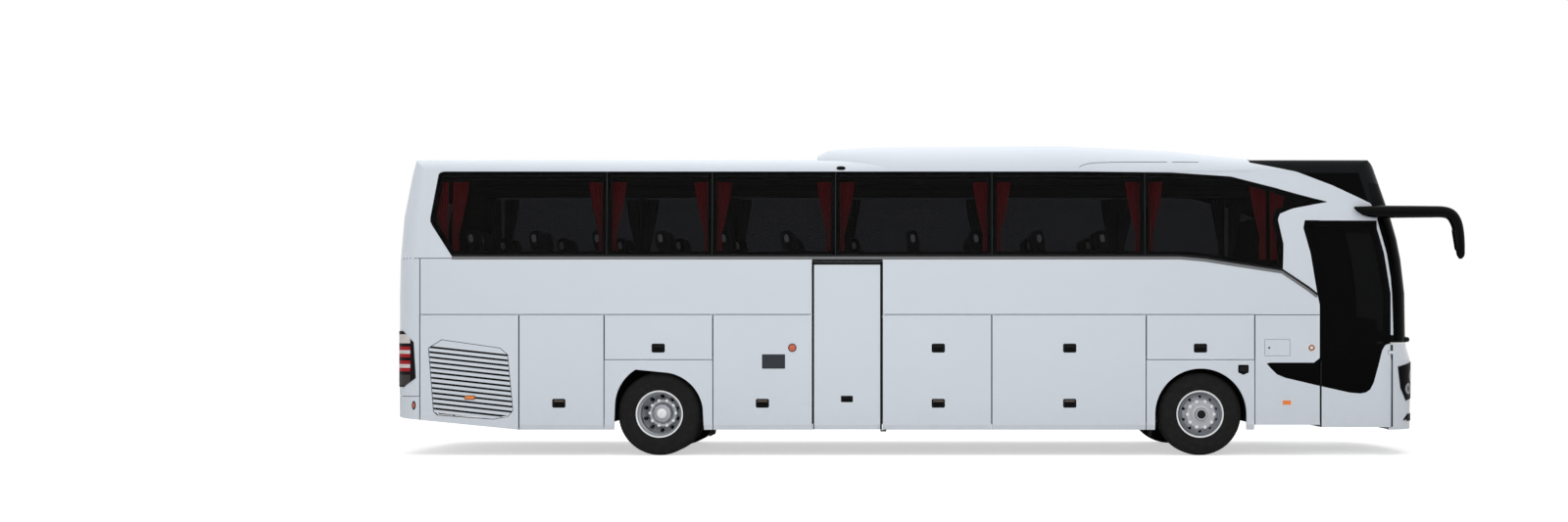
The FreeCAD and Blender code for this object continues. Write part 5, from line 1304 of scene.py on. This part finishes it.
class COACH_OT_handles(CoachOperator, bpy.types.Operator):
    """Makes the recessed handles of the flaps and doors"""
    bl_idname = "coach.handles"
    bl_label = "Flap handles"

    def cup(self, name, side, body, x, z, w, h, amber):
        """A handle's frame, cup and grip; w and h are half its width and height."""
        inner = centred(x, z, w - 0.013, h - 0.011, 0.012)
        outer = centred(x, z, w, h, 0.020)
        piece(f"{name}_frame", "black", add_frame, side, outer, inner, -0.0015, 0.010, body=body)
        side_panel(f"{name}_cup", side, inner, 0.010, 0.013, "trim", body)
        grip = rounded(x - w + 0.026, x + w - 0.026, z - h + 0.018, z + h * 0.15, 0.008)
        side_panel(f"{name}_paddle", side, grip, 0.001, 0.008, "black", body, edge=0.002)
        if amber:
            band = rounded(x - w + 0.018, x + w - 0.018, z + h * 0.32, z + h * 0.72, 0.006)
            side_panel(f"{name}_reflector", side, band, 0.0, 0.009, "smoked", body, edge=0.0015)

    def make(self, coach):
        for side, word in SIDES:
            body = f"engine_flap_{word}"
            side_panel(f"grille_screen_{word}", side, grille_outline(0.972), 0.0336, 0.0346, "trim", body)
            # A thin dark ring just inside the grille's outline: painted shade along the edge of its recess
            inner = grille_outline(0.984)
            piece(f"grille_edge_{word}", "trim", add_frame, side, GRILLE, inner, 0.0035, 0.0048, body=body)
        for side, word in SIDES:
            for flap, x, z in HANDLES:
                if side == LEFT or flap != "rear_luggage_flap" or x < -1.5:
                    tag = "low" if z < 1 else "high"
                    name = f"handle_{flap}_{word}_{tag}_{int(-100 * x)}"
                    self.cup(name, side, f"{flap}_{word}", x, z, 0.083, 0.056, z < 1)
        self.cup("handle_middle_door", RIGHT, "middle_door", -0.785, 0.715, 0.075, 0.040, False)
        for side, word in SIDES:
            side_panel(f"door_release_{word}", side, DOOR_RELEASE, -0.004, 0.004, "black", edge=0.003)
            grip = rounded(4.150, 4.236, 1.060, 1.122, 0.010)
            side_panel(f"door_release_grip_{word}", side, grip, -0.007, 0.0, "trim", edge=0.002)


# Width of a round lamp's bezel and of a marker's frame
BEZEL = 0.010
MARKER_RIM = 0.007
# The corner reflector's middle as (station, height), with half its width and height
REFLECTOR_X, REFLECTOR_Z, REFLECTOR_W, REFLECTOR_H = -6.224, 0.635, 0.024, 0.055
FOG_SHELL = ((6.235, 0.440, 0.452), (6.262, 0.440, 0.478), (6.285, 0.448, 0.497), (6.305, 0.456, 0.503))


class COACH_OT_lamps(CoachOperator, bpy.types.Operator):
    """Makes the side markers, the round lamps and the reflectors"""
    bl_idname = "coach.lamps"
    bl_label = "Lamps and markers"

    def round_lamp(self, name, side, body, x, z, r, lit, ring="nut"):
        inner = r - BEZEL
        bezel = ((r, -0.004), (r, 0.002), (r - 0.006, 0.006), (inner, 0.004), (inner, -0.004))
        dome = [(inner * math.cos(a), 0.0015 + 0.006 * math.sin(a)) for a in (0, 0.3, 0.6, 0.9, 1.2, 1.4)]
        dome = [(0.0, -0.003), (inner, -0.003)] + dome + [(0.0, 0.0075)]
        centre = (at(x), side * side_y(z), z)
        for part, finish, profile in (("bezel", ring, bezel), ("lens", lit, dome)):
            piece(f"{name}_{part}", finish, add_lathe, profile, centre, side, 48, body=body,
                  slot="lamp_clear")

    def reflector_bars(self, share):
        """Bars of the oval corner reflector, drawn in towards its middle."""
        bars = []
        for k in range(-4, 5):
            rise = share * REFLECTOR_H * math.sqrt(1.02 - (k / 4) ** 2)
            bars.append((REFLECTOR_X + share * REFLECTOR_W * k / 4, REFLECTOR_Z - rise, REFLECTOR_Z + rise))
        return bars

    def make(self, coach):
        service = "rear_luggage_flap_right"
        self.round_lamp("emergency_switch", RIGHT, service, -1.471, 1.358, 0.053, "warning", "trim")
        flap = rounded(-1.852, -1.561, 1.095, 1.276, 0.008)
        side_panel("charging_flap", RIGHT, flap, -0.002, 0.004, "flap_grey", service, edge=0.0015)
        lock = disc_outline(4.517, 1.359, 0.012, 20)
        side_panel("fuel_lock", RIGHT, lock, -0.002, 0.004, "black", "fuel_flap")
        for side, word in SIDES:
            self.round_lamp(f"turn_lamp_{word}", side, "coachwork", 5.048, 1.359, 0.052, "turn")
            # A small light disc at the lamp's middle: partly its clear centre, partly a painted highlight
            clear_centre_and_highlight = disc_outline(5.048, 1.359, 0.020, 28)
            side_panel(f"turn_lamp_centre_{word}", side, clear_centre_and_highlight, -0.011, -0.005, "clear_lens",
                       slot="lamp_clear", edge=0.003)
            for name, x, z, w, h, body, rim in (
                ("front", 4.738, 0.669, 0.060, 0.036, "coachwork", "nut"),
                ("rear", -5.520, 0.732, 0.066, 0.027, f"engine_flap_{word}", "trim"),
            ):
                outer = centred(x, z, w, h, 0.012)
                inner = centred(x, z, w - MARKER_RIM, h - MARKER_RIM, 0.007)
                piece(f"marker_frame_{name}_{word}", rim, add_frame, side, outer, inner, -0.004, 0.004, body=body,
                      slot="lamp_clear")
                side_panel(f"marker_{name}_{word}", side, inner, -0.008, 0.003, "amber", body,
                           "lamp_clear", 0.003)
            corner = Surface("rear_bumper", "rear_wall", "front_mask", "headlamps")
            for name, finish, bars, thick, slot in (
                ("corner_reflector_base", "trim", self.reflector_bars(1.0), 0.004, "gloss_black"),
                ("corner_reflector", "warning", self.reflector_bars(0.6), 0.007, "lamp_red"),
                ("fog_lamp_shell", "black", FOG_SHELL, 0.003, "gloss_black"),
            ):
                piece(f"{name}_{word}", finish, add_side_patch, corner, side, bars, thick, slot=slot)
            centre, size = (at(-0.862), side * 1.236, 3.618), (0.115, 0.030, 0.050)
            piece(f"gutter_lamp_{word}", "black", add_pillow, centre, size, 0.0, 2.4)


# The wipers: foot of their arms, lowest height of the glass under them, and a blade's foot and rise
WIPER_Z, SCREEN_FOOT_Z, BLADE_Z, BLADE_RISE = 1.462, 1.50, 1.530, 0.120
WIPER_PIVOT = ((0.0, 0.070), (0.024, 0.066), (0.032, 0.050), (0.034, 0.0), (0.0, 0.0))
BLADE_CUTS = 18


class COACH_OT_wipers(CoachOperator, bpy.types.Operator):
    """Makes the two wipers at rest along the foot of the windscreen"""
    bl_idname = "coach.wipers"
    bl_label = "Wipers"

    def make(self, coach):
        skin = Surface("windscreen", "front_frame", "front_mask")
        for name, root_y, tip_y in (("right", -0.95, 0.10), ("left", 0.05, 1.06)):
            span = tip_y - root_y
            line = []
            for i, t in enumerate((0.0, 0.15, 0.35, 0.55, 0.75, 0.92)):
                y, z = root_y + span * t, WIPER_Z + 0.16 * t
                line.append(Vector((skin.x(y, max(z, SCREEN_FOOT_Z), 1) + 0.034 - 0.008 * i, y, z)))
            radii = [0.017, 0.015, 0.013, 0.011, 0.009, 0.007]
            piece(f"wiper_arm_{name}", "trim", add_tube, line, radii, 10, 0.7)
            foot = (skin.x(root_y, SCREEN_FOOT_Z, 1) - 0.020, root_y, WIPER_Z)
            piece(f"wiper_pivot_{name}", "trim", add_lathe, WIPER_PIVOT, foot, 1, 32, True)
            line = []
            for i in range(BLADE_CUTS + 1):
                y = root_y + span * (0.22 + 0.78 * i / BLADE_CUTS)
                z = BLADE_Z + BLADE_RISE * (y - root_y) / span
                line.append(Vector((skin.x(y, z, 1) + 0.010, y, z)))
            piece(f"wiper_blade_{name}", "rubber", add_tube, line, [0.009] * len(line), 8, 0.8)


FLAP_CUTS = 8


class COACH_OT_ends(CoachOperator, bpy.types.Operator):
    """Makes the blank plates, the grille lines of the nose and the rear fittings"""
    bl_idname = "coach.ends"
    bl_label = "Front and rear fittings"

    def make(self, coach):
        nose = (Surface("front_mask", "front_frame", "windscreen", "headlamps"), 1)
        tail = (Surface("engine_lid", "rear_wall", "rear_bumper", "rear_window"), -1)
        trim, lid = ("trim", "coachwork", "gloss_black"), ("trim", "engine_lid", "gloss_black")
        red, handle = ("red_lens", "coachwork", "lamp_red"), ("black", "engine_lid", "gloss_black")
        front, rear = (("plate", body, "body_white") for body in ("coachwork", "engine_lid"))
        # Name, skin, outline, thickness, (finish, body, slot), then cuts and lift that aren't the usual ones
        rows = [
            ("number_plate_front", nose, (-0.26, 0.26, 0.52, 0.63), 0.006, front, 6, 0.002),
            ("number_plate_rear", tail, (-0.26, 0.26, 0.95, 1.06), 0.002, rear, 6),
        ]
        rows += [(f"nose_slat_{i + 1}", nose, (-0.60, 0.60, z, z + 0.034), 0.004, trim, 16)
                 for i, z in enumerate((0.700, 0.780, 0.860))]
        rows.append(("nose_intake", nose, (-0.72, 0.72, 0.400, 0.470), 0.004, trim, 16))
        rows += [(f"lid_slot_{i + 1}", tail, (-0.62, 0.62, z, z + 0.016), 0.002, lid)
                 for i, z in enumerate((1.560, 1.600, 1.640, 1.680))]
        for side, word in SIDES:
            span = sorted((side * 1.02, side * 0.82))
            rows.append((f"rear_reflector_{word}", tail, (*span, 0.590, 0.650), 0.006, red, 6))
        rows += [
            ("lid_handle", tail, (-0.10, 0.10, 0.820, 0.860), 0.0025, handle, 4),
            ("brake_lamp", tail, (-0.22, 0.22, 3.470, 3.505), 0.012, red, 16),
        ]
        for name, (skin, way), outline, thick, (finish, body, slot), *cuts in rows:
            piece(name, finish, add_end_patch, skin, way, outline, thick, *cuts, body=body, slot=slot)
        for side, word in SIDES:
            def across(a, b, depth):
                return (a, side * depth, b)

            for axle, x, y0, y1 in (("front", 2.855, 0.985, 1.225), ("rear", -2.700, 0.700, 1.225)):
                shares = [k / FLAP_CUTS for k in range(FLAP_CUTS + 1)]
                line = [(x - 0.030 * t ** 2, 0.60 - 0.36 * t) for t in shares]
                outline = line + [(px + 0.010, pz) for px, pz in reversed(line)]
                piece(f"mudflap_{axle}_{word}", "rubber", add_prism, outline, y0, y1, across,
                      slot="chassis_black")


# Lower edge of the roof unit's front shoulder: station and height
UNIT_LINE = (
    (2.135, 3.622), (2.150, 3.640), (2.185, 3.658), (2.250, 3.676), (2.350, 3.688), (2.600, 3.695),
    (2.850, 3.697), (3.100, 3.697), (3.400, 3.697), (3.640, 3.696),
)


class COACH_OT_roof(CoachOperator, bpy.types.Operator):
    """Makes the roof hatch and the dark line along the roof unit's lower edge, partly its joint and partly a
    painted shadow
    """
    bl_idname = "coach.roof"
    bl_label = "Roof fittings"

    def make(self, coach):
        outline = rounded(at(-4.30), at(-3.50), -0.36, 0.36, 0.06, 6)
        hatch = piece("roof_hatch_rear", "trim", add_prism, outline, 3.762, 3.812, lambda *point: point)
        bevelled(hatch, 0.012, 3)
        unit = Surface("roof_fairing", "roof_shell", "side_wall_right", "side_wall_left")
        for side, word in SIDES:
            # A thin dark grey band along the edge: partly the joint, partly a painted shadow along the roof
            # unit's edge
            bars = [(x, z - 0.0035, z + 0.0035) for x, z in UNIT_LINE]
            piece(f"roof_unit_line_{word}", "divider", add_side_patch, unit, side, bars, THIN)


# Camera: its place beside the coach, lens and shifts
CAMERA_Y, CAMERA_Z, CAMERA_LENS = -19.43, 1.47, 33.2
CAMERA_SHIFT_X, CAMERA_SHIFT_Y = -0.080, 0.0497


class COACH_OT_stage(CoachOperator, bpy.types.Operator):
    """Sets the floor, the soft light and the camera"""
    bl_idname = "coach.stage"
    bl_label = "Stage"

    def lamp(self, name, place, size, power, aim_z):
        data = bpy.data.lights.new(name, "AREA")
        data.shape = "RECTANGLE"
        data.size, data.size_y = size
        data.energy = power
        obj = bpy.data.objects.new(name, data)
        obj.location = place
        aim = Vector((MIDDLE_X, 0.0, aim_z)) - Vector(place)
        obj.rotation_euler = aim.to_track_quat("-Z", "Y").to_euler()
        obj.visible_camera = obj.visible_transmission = obj.visible_glossy = False
        bpy.context.scene.collection.objects.link(obj)

    def make(self, coach):
        bm = bmesh.new()
        bmesh.ops.create_grid(bm, x_segments=1, y_segments=1, size=60.0)
        from_bmesh("studio_floor", bm, [floor_paint()], smooth=False)

        size = coach.stage
        self.lamp("top_light", (MIDDLE_X, -2.0, 10.0), (20.0, 12.0), size.key, 1.0)
        self.lamp("side_light", (MIDDLE_X - 3.0, -16.0, 6.0), (18.0, 7.0), size.side, 1.4)
        self.lamp("back_light", (MIDDLE_X, 15.0, 6.0), (16.0, 6.0), size.side * 0.5, 1.6)

        scene = bpy.context.scene
        scene.world = bpy.data.worlds.new("studio")
        scene.world.use_nodes = True
        sky = Nodes(scene.world.node_tree)
        seen = 0.0
        for kind in ("Camera", "Glossy", "Transmission"):
            seen = sky.most(sky.node("ShaderNodeLightPath", output=f"Is {kind} Ray"), seen)
        level = sky.node("ShaderNodeMapRange", {"Value": seen, "To Min": size.world, "To Max": 1.0})
        back = sky.tree.nodes["Background"]
        sky.feed(back.inputs["Strength"], level)
        back.inputs["Color"].default_value = (1.0, 1.0, 1.0, 1.0)

        camera = bpy.data.cameras.new("camera")
        camera.lens = CAMERA_LENS
        camera.shift_x, camera.shift_y = CAMERA_SHIFT_X, CAMERA_SHIFT_Y
        obj = bpy.data.objects.new("camera", camera)
        obj.location = (MIDDLE_X, CAMERA_Y, CAMERA_Z)
        obj.rotation_euler = (math.pi / 2, 0.0, 0.0)
        scene.collection.objects.link(obj)
        scene.camera = obj
        scene.view_settings.view_transform = "Standard"


OPERATORS = (
    COACH_OT_finishes, COACH_OT_tyres, COACH_OT_wheels, COACH_OT_mirrors, COACH_OT_curtains, COACH_OT_seats,
    COACH_OT_mouldings, COACH_OT_handles, COACH_OT_lamps, COACH_OT_wipers, COACH_OT_ends, COACH_OT_roof,
    COACH_OT_stage,
)
STEPS = tuple(cls.bl_idname for cls in OPERATORS)


class COACH_PT_panel(bpy.types.Panel):
    """The coach's sizes, and a button for each group of pieces"""
    bl_idname = "COACH_PT_panel"
    bl_label = "Touring coach"
    bl_space_type = "VIEW_3D"
    bl_region_type = "UI"
    bl_category = "Coach"

    def draw(self, context):
        coach = context.scene.coach
        for title in ("colours", "wheels", "curtains", "stage"):
            group = getattr(coach, title)
            box = self.layout.box()
            box.label(text=title.capitalize())
            for name in type(group).__annotations__:
                box.prop(group, name)
        for step in STEPS:
            self.layout.operator(step)


CLASSES = (CoachColours, CoachWheels, CoachCurtains, CoachStage, CoachSettings, *OPERATORS, COACH_PT_panel)


def register():
    for cls in CLASSES:
        bpy.utils.register_class(cls)
    bpy.types.Scene.coach = bpy.props.PointerProperty(type=CoachSettings)


def unregister():
    del bpy.types.Scene.coach
    for cls in reversed(CLASSES):
        bpy.utils.unregister_class(cls)


def main():
    register()
    for step in STEPS:
        group, name = step.split(".")
        if getattr(getattr(bpy.ops, group), name)() != {"FINISHED"}:
            raise RuntimeError(f"{step} wasn't finished")


if __name__ == "__main__":
    main()
